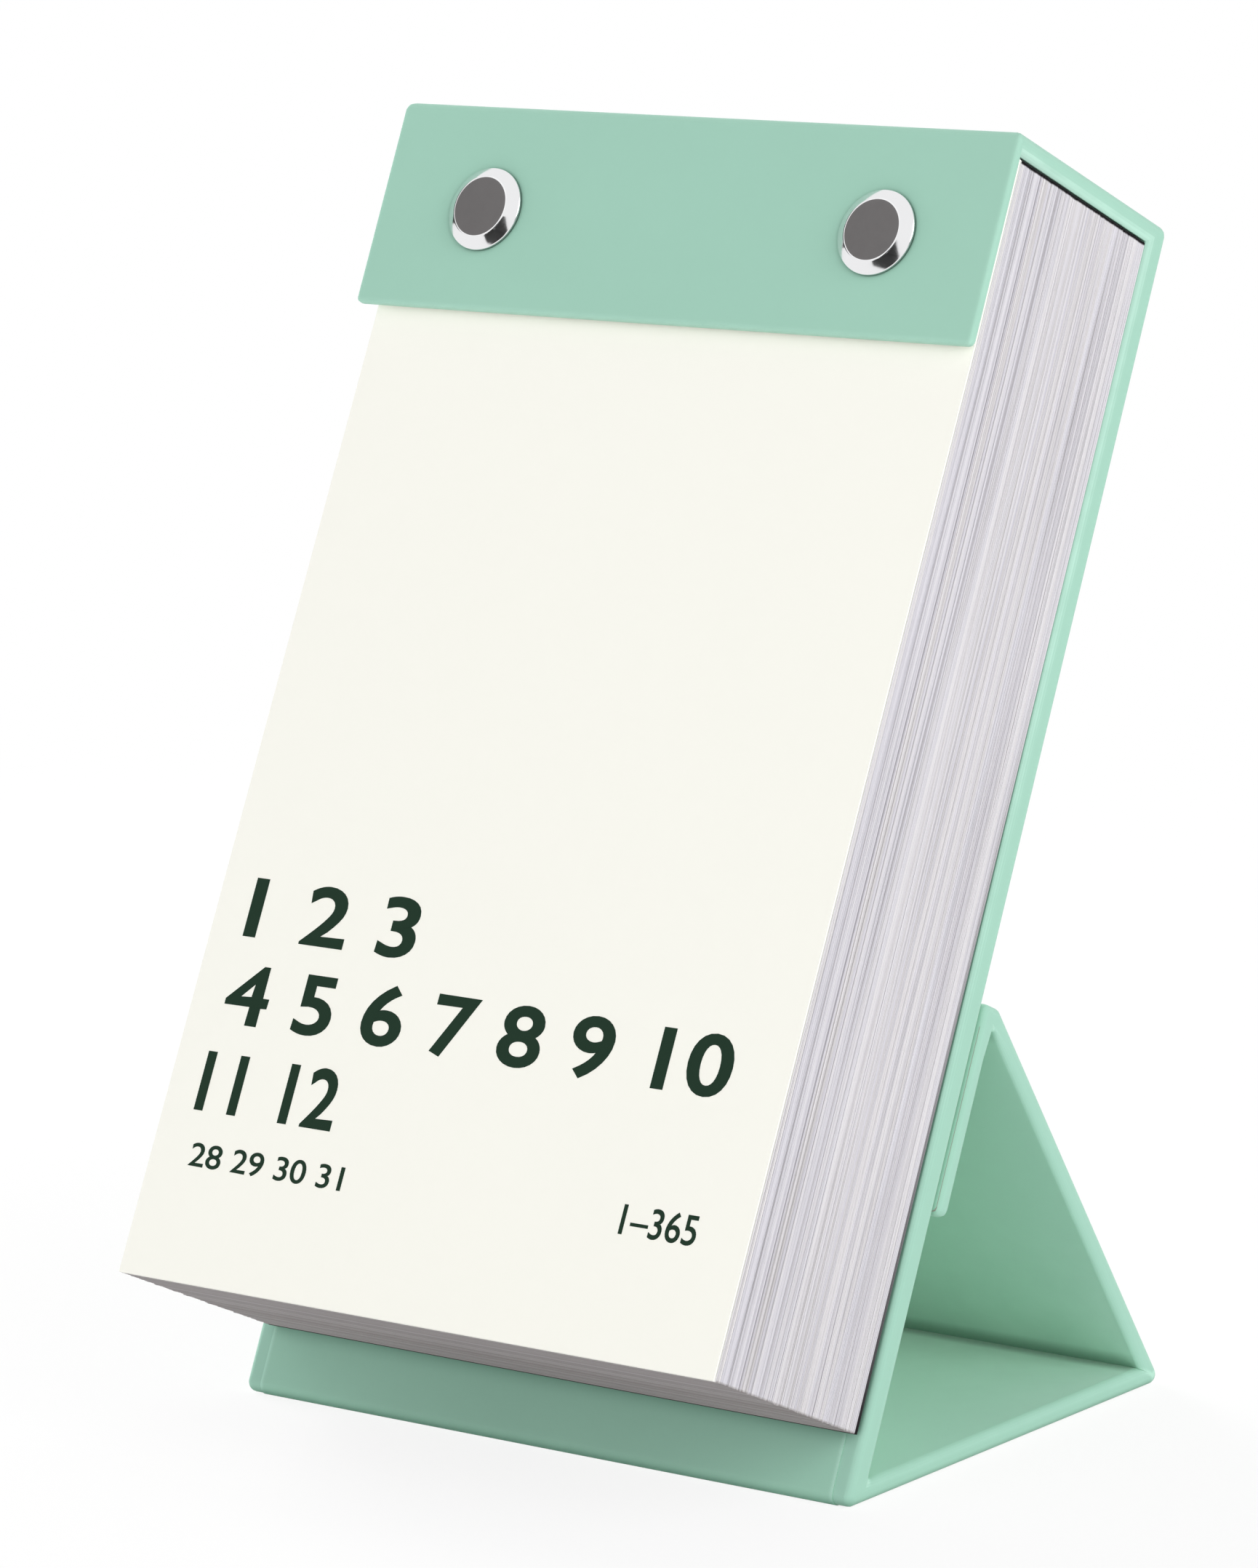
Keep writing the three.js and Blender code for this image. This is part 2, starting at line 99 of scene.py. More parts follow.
class Nodes:
    """A node tree, with short calls that add nodes and join them."""

    def __init__(self, tree: bpy.types.NodeTree) -> None:
        """Work on a tree."""
        self.tree = tree

    def add(
        self,
        kind: str,
        values: dict[str | int, object] | None = None,
        **settings: object,
    ) -> bpy.types.Node:
        """Add a node.

        Args:
            kind: The node's type without its leading ShaderNode, such as Mix.
            values: Values for its input sockets, by name or place.
            settings: Values for its own properties.

        Returns:
            The node.
        """
        node = self.tree.nodes.new(f"ShaderNode{kind}")
        for name, value in settings.items():
            setattr(node, name, value)
        for name, value in (values or {}).items():
            node.inputs[name].default_value = value
        return node

    def join(self, output: Socket, target: Socket) -> None:
        """Link an output socket to an input socket."""
        self.tree.links.new(output, target)

    def math(self, operation: str, *terms: Socket | float, clamp: bool = False) -> Socket:
        """Add a sum of plain numbers and sockets.

        Args:
            operation: The math node's operation.
            terms: Its inputs in order, sockets or numbers.
            clamp: Whether the result is kept between 0 and 1.

        Returns:
            The result's socket.
        """
        node = self.add("Math", operation=operation, use_clamp=clamp)
        for place, term in enumerate(terms):
            if isinstance(term, Socket):
                self.join(term, node.inputs[place])
            else:
                node.inputs[place].default_value = term
        return node.outputs[0]

    def mix(self, factor: Socket, first: Socket | Color, second: Socket | Color) -> Socket:
        """Add a mix of two colors.

        Args:
            factor: How much of the second color is taken.
            first: The first color, plain or from a socket.
            second: The second color.

        Returns:
            The mixed color's socket.
        """
        node = self.add("Mix", data_type="RGBA")
        self.join(factor, node.inputs["Factor"])
        for place, color in ((6, first), (7, second)):
            if isinstance(color, Socket):
                self.join(color, node.inputs[place])
            else:
                node.inputs[place].default_value = (*color, 1.0)
        return node.outputs[2]


class Shader(Nodes):
    """A material's node tree."""

    def __init__(self, name: str) -> None:
        """Start a material that has only the piece's own coordinates.

        Args:
            name: The material's name.
        """
        self.material = bpy.data.materials.new(name)
        self.material.use_nodes = True
        super().__init__(self.material.node_tree)
        self.tree.nodes.clear()
        self.place = self.add("TexCoord").outputs["Object"]

    def group(self, shared: bpy.types.NodeTree, values: dict[str, object]) -> bpy.types.Node:
        """Place a shared node group, on the piece's own coordinates if it takes a position.

        Args:
            shared: The group's tree.
            values: Values for its inputs, by name.

        Returns:
            The group node.
        """
        node = self.add("Group", values, node_tree=shared)
        if "Position" in node.inputs:
            self.join(self.place, node.inputs["Position"])
        return node

    def toned(
        self,
        color: Socket | Color,
        shared: bpy.types.NodeTree,
        values: dict[str, float],
        tone: Color,
    ) -> Socket:
        """Mix in a tone where a shared group's mask says.

        Args:
            color: The color elsewhere.
            shared: The group that finds the places.
            values: Values for its inputs, by name.
            tone: The color at those places.

        Returns:
            The mixed color's socket.
        """
        return self.mix(self.group(shared, values).outputs["Mask"], color, tone)

    def either(self, factor: Socket, first: Socket, second: Socket) -> Socket:
        """Mix two surfaces.

        Args:
            factor: How much of the second surface is taken.
            first: The first surface.
            second: The second surface.

        Returns:
            The mixed surface's socket.
        """
        node = self.add("MixShader")
        for place, socket in enumerate((factor, first, second)):
            self.join(socket, node.inputs[place])
        return node.outputs[0]

    def surface(
        self,
        color: Socket,
        roughness: Socket,
        height: Socket,
        relief: Point,
        values: dict[str, float],
    ) -> Material:
        """Finish the material with a principled surface.

        Args:
            color: Its base color.
            roughness: Its roughness.
            height: Its fine relief.
            relief: That relief's strength, and its depth in metres.
            values: Plain values of its other inputs, by name.

        Returns:
            The finished material.
        """
        bump = self.add("Bump", {"Strength": relief[0], "Distance": relief[1]})
        self.join(height, bump.inputs["Height"])
        node = self.add("BsdfPrincipled", values)
        self.join(color, node.inputs["Base Color"])
        self.join(roughness, node.inputs["Roughness"])
        self.join(bump.outputs["Normal"], node.inputs["Normal"])
        return self.finish(node.outputs["BSDF"])

    def finish(self, surface: Socket) -> Material:
        """Link the last shader to the material's output, and give the material."""
        self.join(surface, self.add("OutputMaterial").inputs["Surface"])
        return self.material


class SharedGroup(Nodes):
    """A shader node group, built once and used by several materials."""

    def __init__(self, name: str, inputs: dict[str, object], outputs: dict[str, str]) -> None:
        """Start the group with its sockets.

        Args:
            name: The group's name.
            inputs: Each input's default value; its type follows from the value.
            outputs: Each output's socket type.
        """
        super().__init__(bpy.data.node_groups.new(name, "ShaderNodeTree"))
        kinds = {float: "NodeSocketFloat", tuple: "NodeSocketColor", Vector: "NodeSocketVector"}
        for label, value in inputs.items():
            socket = self.tree.interface.new_socket(label, in_out="INPUT", socket_type=kinds[type(value)])
            if not isinstance(value, Vector):
                socket.default_value = value
        for label, kind in outputs.items():
            self.tree.interface.new_socket(label, in_out="OUTPUT", socket_type=kind)
        self.inlet = self.tree.nodes.new("NodeGroupInput").outputs
        self.outlet = self.tree.nodes.new("NodeGroupOutput").inputs


def paper_tooth_group() -> bpy.types.NodeTree:
    """Build the group that gives paper its cloudy tone and fine tooth.

    Returns:
        A group with Position, Color, Clouds, Fibre and Roughness in, and Color, Roughness and Height out.
    """
    speck_share = 0.55
    roughness_spread = 0.12
    group = SharedGroup(
        "paper tooth",
        {
            "Position": Vector(),
            "Color": (0.8, 0.8, 0.8, 1.0),
            "Clouds": 0.03,
            "Fibre": 2600.0,
            "Roughness": 0.7,
        },
        {"Color": "NodeSocketColor", "Roughness": "NodeSocketFloat", "Height": "NodeSocketFloat"},
    )
    clouds = group.add("TexNoise", {"Scale": 38.0, "Detail": 5.0, "Roughness": 0.62})
    tooth = group.add("TexNoise", {"Detail": 4.0, "Roughness": 0.7, "Distortion": 0.35})
    for texture in (clouds, tooth):
        group.join(group.inlet["Position"], texture.inputs["Vector"])
    group.join(group.inlet["Fibre"], tooth.inputs["Scale"])
    patch = group.math("SUBTRACT", clouds.outputs["Fac"], 0.5)
    speck = group.math("SUBTRACT", tooth.outputs["Fac"], 0.5)
    both = group.math("MULTIPLY_ADD", speck, speck_share, patch)
    toned = group.add("VectorMath", operation="SCALE")
    group.join(group.inlet["Color"], toned.inputs[0])
    group.join(group.math("MULTIPLY_ADD", both, group.inlet["Clouds"], 1.0), toned.inputs["Scale"])
    rough = group.math("MULTIPLY_ADD", speck, roughness_spread, group.inlet["Roughness"])
    group.join(toned.outputs[0], group.outlet["Color"])
    group.join(rough, group.outlet["Roughness"])
    group.join(tooth.outputs["Fac"], group.outlet["Height"])
    return group.tree


def edge_highlight_group() -> bpy.types.NodeTree:
    """Build the group that finds rounded edges for a painted highlight, where the rounded normal leaves the
    true one.

    Returns:
        A group with Position and Strength in, and Mask out.
    """
    group = SharedGroup("painted edge highlight", {"Position": Vector(), "Strength": 1.0}, {"Mask": "NodeSocketFloat"})
    rounded = group.add("Bevel", {"Radius": 0.0009}, samples=6)
    close = group.add("VectorMath", operation="DOT_PRODUCT")
    group.join(rounded.outputs[0], close.inputs[0])
    group.join(group.add("NewGeometry").outputs["True Normal"], close.inputs[1])
    patchy = group.add("TexNoise", {"Scale": 190.0, "Detail": 3.0})
    group.join(group.inlet["Position"], patchy.inputs["Vector"])
    away = group.math("SUBTRACT", 1.0, close.outputs["Value"])
    highlighted = group.math("MULTIPLY", away, patchy.outputs["Fac"])
    group.join(group.math("MULTIPLY", highlighted, group.inlet["Strength"], clamp=True), group.outlet["Mask"])
    return group.tree


def crease_group() -> bpy.types.NodeTree:
    """Build the group that finds creases and narrow gaps, for painted shade there.

    Returns:
        A group with Depth and Strength in, and Mask out.
    """
    falloff = 1.4
    group = SharedGroup("creases", {"Depth": 0.0022, "Strength": 1.0}, {"Mask": "NodeSocketFloat"})
    hidden = group.add("AmbientOcclusion", samples=6)
    group.join(group.inlet["Depth"], hidden.inputs["Distance"])
    closed = group.math("SUBTRACT", 1.0, hidden.outputs["AO"])
    curved = group.math("POWER", closed, falloff)
    group.join(group.math("MULTIPLY", curved, group.inlet["Strength"], clamp=True), group.outlet["Mask"])
    return group.tree


@dataclass
class SharedEffects:
    """The node groups that several finishes use."""

    tooth: bpy.types.NodeTree = field(default_factory=paper_tooth_group)
    # Painted highlight on rounded edges.
    edge_highlight: bpy.types.NodeTree = field(default_factory=edge_highlight_group)
    # Painted shade in creases and narrow gaps.
    crease: bpy.types.NodeTree = field(default_factory=crease_group)


@dataclass(frozen=True)
class PaperFinish:
    """Matt paper: cloudy tone, fine tooth, a painted highlight on rounded edges and painted shade in creases.

    Attributes:
        tooth_depth: Depth of its tooth in metres.
        bounce: How far its bounced light takes the bounced color, to open up the shade inside the stand.
    """

    name: str
    color: Color
    roughness: float = 0.7
    clouds: float = 0.05
    fibre: float = 2600.0
    bump: float = 0.12
    tooth_depth: float = 0.00004
    # Painted highlight on rounded edges, and its strength.
    edge_highlight_color: Color | None = None
    edge_highlight_strength: float = 11.0
    # Painted shade in creases and narrow gaps, and its strength.
    crease_shade_color: Color | None = None
    crease_shade_strength: float = 1.4
    sheen: float = 0.0
    gloss: float = 0.35
    bounce: float = 0.0
    bounced_color: Color = (0.82, 1.0, 0.87)

    def material(self, shared: SharedEffects) -> Material:
        """Build the material.

        Args:
            shared: The shared node groups.

        Returns:
            The material.
        """
        shader = Shader(self.name)
        tooth = shader.group(shared.tooth, {
            "Color": (*self.color, 1.0),
            "Clouds": self.clouds,
            "Fibre": self.fibre,
            "Roughness": self.roughness,
        })
        color = tooth.outputs["Color"]
        # Painted highlight on rounded edges.
        if self.edge_highlight_color:
            color = shader.toned(color, shared.edge_highlight, {"Strength": self.edge_highlight_strength}, self.edge_highlight_color)
        # Painted shade in creases and narrow gaps.
        if self.crease_shade_color:
            color = shader.toned(color, shared.crease, {"Strength": self.crease_shade_strength}, self.crease_shade_color)
        if self.bounce:
            bounced = shader.add("LightPath").outputs["Is Diffuse Ray"]
            color = shader.mix(shader.math("MULTIPLY", bounced, self.bounce), color, self.bounced_color)
        return shader.surface(
            color,
            tooth.outputs["Roughness"],
            tooth.outputs["Height"],
            (self.bump, self.tooth_depth),
            {"Specular IOR Level": self.gloss, "Sheen Weight": self.sheen},
        )


@dataclass(frozen=True)
class SheetFinish:
    """White sheets seen on edge: each sheet and each bundle has its own tone.

    Attributes:
        tooth_depth: Depth of the paper's tooth in metres.
    """

    name: str
    light: Color
    dark: Color
    tint: Color
    # Painted shade on the sheets' lower edges, under the block.
    under: Color
    # Painted shadow in the dark gaps under the spine and in front of the back.
    gap: Color
    clouds: float = 0.06
    fibre: float = 3200.0
    roughness: float = 0.85
    bump: float = 0.2
    tooth_depth: float = 0.00004
    gloss: float = 0.2

    def material(self, shared: SharedEffects) -> Material:
        """Build the material from the sheets' tone, tint, under and gap attributes: under is painted shade on
        the lower edges, gap painted shadow in the gaps.

        Args:
            shared: The shared node groups.

        Returns:
            The material.
        """
        shader = Shader(self.name)
        color = self.light
        tones = {"tone": self.dark, "tint": self.tint, "under": self.under, "gap": self.gap}
        for name, toned in tones.items():
            share = shader.add("Attribute", attribute_name=name).outputs["Fac"]
            color = shader.mix(share, color, toned)
        tooth = shader.group(shared.tooth, {
            "Clouds": self.clouds,
            "Fibre": self.fibre,
            "Roughness": self.roughness,
        })
        shader.join(color, tooth.inputs["Color"])
        return shader.surface(
            tooth.outputs["Color"],
            tooth.outputs["Roughness"],
            tooth.outputs["Height"],
            (self.bump, self.tooth_depth),
            {"Specular IOR Level": self.gloss},
        )


@dataclass(frozen=True)
class MetalFinish:
    """Plated metal with fine handling marks, a painted highlight on its edges and painted shade in its
    creases.

    Attributes:
        marks: How much rougher the marks are.
        mark_depth: Depth of the marks in metres.
        crease_depth: Width of the painted shade in creases, in metres.
    """

    name: str
    color: Color
    roughness: float
    marks: float = 0.08
    mark_scale: float = 900.0
    mark_bump: float = 0.05
    mark_depth: float = 0.00002
    # Painted highlight on the edges, and its strength.
    edge_highlight_color: Color = (0.9, 0.9, 0.9)
    edge_highlight_strength: float = 2.0
    # Painted shade in the creases, with its strength and width.
    crease_shade_color: Color = (0.03, 0.03, 0.03)
    crease_shade_strength: float = 2.2
    crease_depth: float = 0.0012

    def material(self, shared: SharedEffects) -> Material:
        """Build the material.

        Args:
            shared: The shared node groups.

        Returns:
            The material.
        """
        shader = Shader(self.name)
        marks = shader.add("TexNoise", {"Scale": self.mark_scale, "Detail": 6.0, "Roughness": 0.75})
        shader.join(shader.place, marks.inputs["Vector"])
        rough = shader.add("MapRange", {
            "From Min": 0.35,
            "From Max": 0.7,
            "To Min": self.roughness,
            "To Max": self.roughness + self.marks,
        })
        shader.join(marks.outputs["Fac"], rough.inputs["Value"])
        # Painted highlight on the edges and painted shade in the creases.
        creases = {"Depth": self.crease_depth, "Strength": self.crease_shade_strength}
        color = shader.toned(self.color, shared.edge_highlight, {"Strength": self.edge_highlight_strength}, self.edge_highlight_color)
        return shader.surface(
            shader.toned(color, shared.crease, creases, self.crease_shade_color),
            rough.outputs["Result"],
            marks.outputs["Fac"],
            (self.mark_bump, self.mark_depth),
            {"Metallic": 1.0},
        )


@dataclass(frozen=True)
class FloorFinish:
    """Pale floor that is near white to the camera and keeps a soft shadow. Its lengths are in metres.

    Attributes:
        seen: Its color to the camera.
        shadow_share: How much of the shadow the camera sees next to the object.
        fade_start: Distance at which the shadow starts to fade to white.
        fade_end: Distance at which it has faded.
        card_start: Where the dark card starts, which only reflections show, in front of the object.
        card_middle: Middle of the card, as its X over its distance.
        card_reach: Half its width, in the same way.
    """

    name: str = "floor"
    color: Color = (0.95, 0.95, 0.95)
    seen: Color = (0.97, 0.97, 0.97)
    shadow_share: float = 0.15
    fade_start: float = 0.12
    fade_end: float = 0.5
    card_color: Color = (0.05, 0.05, 0.05)
    card_start: float = 0.4
    card_middle: float = 0.06
    card_reach: float = 0.36

    def material(self) -> Material:
        """Build the material: plain to other rays, and faded to white away from the object to the camera.

        Returns:
            The material.
        """
        shader = Shader(self.name)
        plain, lit, black = (
            shader.add("BsdfDiffuse", {"Color": (*color, 1.0)}).outputs[0]
            for color in (self.color, self.seen, self.card_color)
        )
        white = shader.add("Emission", {"Color": (1.0, 1.0, 1.0, 1.0), "Strength": 1.0}).outputs[0]
        reach = shader.add("VectorMath", operation="LENGTH")
        split = shader.add("SeparateXYZ")
        for node in (reach, split):
            shader.join(shader.place, node.inputs[0])
        fade = shader.add("MapRange", {
            "From Min": self.fade_start,
            "From Max": self.fade_end,
            "To Min": 1.0 - self.shadow_share,
            "To Max": 1.0,
        }, interpolation_type="SMOOTHSTEP")
        shader.join(reach.outputs["Value"], fade.inputs["Value"])
        path = shader.add("LightPath").outputs
        clear = shader.math("MAXIMUM", path["Is Glossy Ray"], path["Is Transmission Ray"])
        seen = shader.math("MAXIMUM", path["Is Camera Ray"], clear)
        ahead = shader.math("LESS_THAN", split.outputs["Y"], -self.card_start)
        aside = shader.math("DIVIDE", split.outputs["X"], shader.math("ABSOLUTE", split.outputs["Y"]))
        middle = shader.math("COMPARE", aside, self.card_middle, self.card_reach)
        card = shader.math("MULTIPLY", shader.math("MULTIPLY", ahead, middle), path["Is Glossy Ray"])
        backdrop = shader.either(fade.outputs["Result"], lit, white)
        open_floor = shader.either(seen, plain, backdrop)
        return shader.finish(shader.either(card, open_floor, black))


# The paper finishes' edge colors are a painted highlight on rounded edges, and their crease colors painted
# shade in creases.
COVER_PAPER = PaperFinish(
    "mint cover paper",
    (0.34, 0.602, 0.482),
    roughness=0.62,
    edge_highlight_color=(0.51, 0.80, 0.67),
    crease_shade_color=(0.15, 0.33, 0.24),
    sheen=0.12,
    bounce=1.0,
)
LINING_PAPER = PaperFinish(
    "mint lining paper",
    (0.335, 0.598, 0.47),
    roughness=0.68,
    clouds=0.07,
    edge_highlight_color=(0.5, 0.78, 0.66),
    crease_shade_color=(0.15, 0.33, 0.24),
    bounce=1.0,
)
PAGE_CARD = PaperFinish("off-white page card", (0.955, 0.948, 0.875), roughness=0.72, clouds=0.012, bump=0.08)
SHEET_FACE = PaperFinish("white sheet face", (0.93, 0.925, 0.92), roughness=0.8, clouds=0.02, bump=0.1)
PRINTING_INK = PaperFinish("dark green ink", (0.014, 0.036, 0.021), clouds=0.2, bump=0.05, gloss=0.1)
RAW_BOARD = PaperFinish("greyboard", (0.28, 0.26, 0.23), roughness=0.9, clouds=0.3, fibre=900.0, bump=0.5)
WHITE_SHEETS = SheetFinish(
    "white sheets",
    light=(0.73, 0.718, 0.768),
    dark=(0.44, 0.42, 0.455),
    tint=(0.80, 0.775, 0.76),
    # Painted shade on the lower edges.
    under=(0.30, 0.275, 0.265),
    # Painted shadow in the gaps.
    gap=(0.012, 0.010, 0.012),
)
NICKEL_PLATE = MetalFinish("nickel plate", (0.84, 0.84, 0.85), 0.07)
DARK_NICKEL = MetalFinish("satin nickel face", (0.162, 0.155, 0.155), 0.4)
MAGNET_NICKEL = MetalFinish("magnet plate", (0.4, 0.41, 0.42), 0.3)


# Shared shape tools


@dataclass(frozen=True)
class Corner:
    """One corner of a side-view outline, with the rounding of the edges that start there.

    Attributes:
        at: Its Y and Z.
        across: Rounding of the edge that runs across the width from it.
        along: Rounding of the side edge from it to the next corner.
    """

    at: Vector
    across: float = 0.0
    along: float = 0.0


def heading(angle: float) -> Vector:
    """Unit vector of the side view, at an angle from +Y in radians."""
    return Vector((math.cos(angle), math.sin(angle)))


def arc(centre: Vector, radius: float, start: float, end: float, steps: int, along: float) -> list[Corner]:
    """Corners along a round stretch of an outline.

    Args:
        centre: Centre of the arc.
        radius: Its radius.
        start: Angle of its first corner from +Y, in degrees.
        end: Angle of its last corner.
        steps: Number of straight steps.
        along: Side rounding of each corner.

    Returns:
        The corners in order.
    """
    angles = [math.radians(start + (end - start) * step / steps) for step in range(steps + 1)]
    return [Corner(centre + radius * heading(angle), along=along) for angle in angles]


def turned_back(contour: Sequence[Corner], then: float) -> list[Corner]:
    """The same stretch of outline, walked the other way.

    Args:
        contour: The corners in their first order.
        then: Side rounding of the edge that follows the stretch.

    Returns:
        The corners in the other order, each with the rounding of the edge that now starts there.
    """
    along = [*(corner.along for corner in reversed(contour[:-1])), then]
    pairs = zip(reversed(contour), along, strict=True)
    return [Corner(corner.at, corner.across, side) for corner, side in pairs]


def swept(outline: Sequence[Corner], width: float) -> Mesh:
    """Sweep a side-view outline across the width, with bevel weights from its corners.

    Args:
        outline: The corners in order.
        width: Size along X, centred on the middle plane.

    Returns:
        A closed mesh in millimetres.
    """
    mesh = bmesh.new()
    weight = mesh.edges.layers.float.new("bevel_weight_edge")
    near = [mesh.verts.new((-width / 2, *corner.at)) for corner in outline]
    cap = mesh.faces.new(near)
    grown = bmesh.ops.extrude_face_region(mesh, geom=[cap])["geom"]
    far = [part for part in grown if isinstance(part, bmesh.types.BMVert)]
    bmesh.ops.translate(mesh, verts=far, vec=(width, 0, 0))
    places = {(round(corner.at.x, 4), round(corner.at.y, 4)): index for index, corner in enumerate(outline)}
    widest = max(max(corner.across, corner.along) for corner in outline) or 1.0
    for edge in mesh.edges:
        first, last = (places[round(vert.co.y, 4), round(vert.co.z, 4)] for vert in edge.verts)
        if first == last:
            edge[weight] = outline[first].across / widest
            continue
        low, high = sorted((first, last))
        start = high if (low, high) == (0, len(outline) - 1) else low
        edge[weight] = outline[start].along / widest
    bmesh.ops.recalc_face_normals(mesh, faces=mesh.faces)
    return mesh


def finished(mesh: Mesh, name: str, material: Material, sharp: float = 35.0) -> Piece:
    """Turn a mesh in millimetres into an object in metres, at the origin.

    Args:
        mesh: The mesh, which is freed.
        name: The piece's name.
        material: Its material.
        sharp: Edges above this angle stay sharp, in degrees.

    Returns:
        The object.
    """
    data = bpy.data.meshes.new(name)
    mesh.to_mesh(data)
    mesh.free()
    data.transform(Matrix.Scale(MM, 4))
    data.shade_smooth()
    data.set_sharp_from_angle(angle=math.radians(sharp))
    data.materials.append(material)
    piece = bpy.data.objects.new(name, data)
    bpy.context.scene.collection.objects.link(piece)
    log.info("%s: %d faces", name, len(data.polygons))
    return piece


def round_edges(piece: Piece, widest: float) -> None:
    """Round a piece's weighted edges.

    Args:
        piece: The piece.
        widest: Rounding of an edge of weight 1, in millimetres.
    """
    bevel = piece.modifiers.new("rounded edges", "BEVEL")
    bevel.width = widest * MM
    bevel.segments = EDGE_SEGMENTS
    bevel.profile = 0.5
    bevel.limit_method = "WEIGHT"
    bevel.harden_normals = True
    bevel.use_clamp_overlap = False


def points_in(name: str, place: Matrix) -> list[Vector]:
    """A frame node's vertices as seen in a turned frame, in millimetres."""
    back = place.inverted()
    return [back @ (vert.co / MM) for vert in frame["nodes"][name].data.vertices]


def box_in(name: str, place: Matrix) -> tuple[Vector, Vector]:
    """Lowest and highest corner of a frame node, seen in a turned frame.

    Args:
        name: The node.
        place: The turned frame, in millimetres.

    Returns:
        Both corners in that frame, in millimetres.
    """
    points = points_in(name, place)
    low = Vector(min(point[axis] for point in points) for axis in range(3))
    high = Vector(max(point[axis] for point in points) for axis in range(3))
    return low, high


# The calendar's layout


@dataclass
class Layout:
    """Places and angles in the side view, in millimetres, read from the frame.

    The leaning frame has Y behind the back's front face and Z up along it from the table.

    Attributes:
        flap_band: Depth of the front skin in which the flap's lowest vertices are looked for.
        end_band: Height within which a vertex belongs to a node's top or bottom end.
    """

    flap_band: float = 0.5
    end_band: float = 0.05
    lean: float = field(init=False)
    strut_angle: float = field(init=False)
    floor_hinge: Vector = field(init=False)
    rear_hinge: Vector = field(init=False)
    ridge_hinge: Vector = field(init=False)
    leaning: Matrix = field(init=False)
    case_low: Vector = field(init=False)
    case_high: Vector = field(init=False)

    def __post_init__(self) -> None:
        """Read the hinge lines, the lean and the case's box."""
        hinges = ("stand_fold", "strut_fold", "tab_fold")
        side = [Vector(JOINTS[name]["pos_m"][1:]) / MM for name in hinges]
        self.floor_hinge, self.rear_hinge, self.ridge_hinge = side
        behind = Vector(JOINTS["screw_left_turn"]["axis"][1:])
        self.lean = math.atan2(behind.x, -behind.y)
        turned = Matrix.Rotation(self.lean - math.pi / 2, 4, "X")
        face = box_in("back_liner", turned)[0].y
        self.leaning = turned @ Matrix.Translation((0, face, face / math.tan(self.lean)))
        self.case_low, self.case_high = self.box("case_paper")
        rise = self.ridge_hinge - self.rear_hinge
        self.strut_angle = math.atan2(rise.y, rise.x) - math.asin(self.stand_thickness / 2 / rise.length)

    @property
    def width(self) -> float:
        """The case's width."""
        return self.case_high.x - self.case_low.x

    @property
    def stand_thickness(self) -> float:
        """Thickness of foot, strut and tab: the rear fold's hinge lies halfway up the foot."""
        return 2 * self.rear_hinge.y

    @property
    def back_thickness(self) -> float:
        """Thickness of the back panel."""
        return self.case_high.y

    @property
    def flap_bottom(self) -> float:
        """Height of the flap's free edge up along the back."""
        points = points_in("case_paper", self.leaning)
        return min(point.z for point in points if point.y < self.case_low.y + self.flap_band)

    @property
    def up_strut(self) -> Vector:
        """Unit vector up along the strut."""
        return heading(self.strut_angle)

    @property
    def out_of_strut(self) -> Vector:
        """Unit vector out of the strut's rear face."""
        return Vector((self.up_strut.y, -self.up_strut.x))

    @property
    def strut_length(self) -> float:
        """Length of the strut from its rear hinge to the ridge."""
        return (self.ridge_hinge - self.rear_hinge).dot(self.up_strut)

    def back(self, up: float, behind: float) -> Vector:
        """Point of the side view, up along the back and behind its front face."""
        place = self.leaning @ Vector((0, behind, up))
        return Vector((place.y, place.z))

    def behind_and_up(self, point: Vector) -> Vector:
        """A side-view point's places behind the back's front face and up along it."""
        place = self.leaning.inverted() @ Vector((0, *point))
        return Vector((place.y, place.z))

    def strut(self, up: float, outwards: float) -> Vector:
        """Point of the side view, up along the strut from the rear hinge and outwards from its middle."""
        return self.rear_hinge + up * self.up_strut + outwards * self.out_of_strut

    def box(self, name: str) -> tuple[Vector, Vector]:
        """Lowest and highest corner of a frame node in the leaning frame."""
        return box_in(name, self.leaning)

    def depths(self, name: str) -> dict[str, Point]:
        """Where a node of the block starts and ends behind the back's front face.

        Args:
            name: The frame's node.

        Returns:
            Its front and rear depth at its top and at its bottom.
        """
        points = points_in(name, self.leaning)
        low, high = self.box(name)
        found = {}
        for label, level in (("top", high.z), ("bottom", low.z)):
            there = [point.y for point in points if abs(point.z - level) < self.end_band]
            found[label] = (min(there), max(there))
        return found


# Case and stand


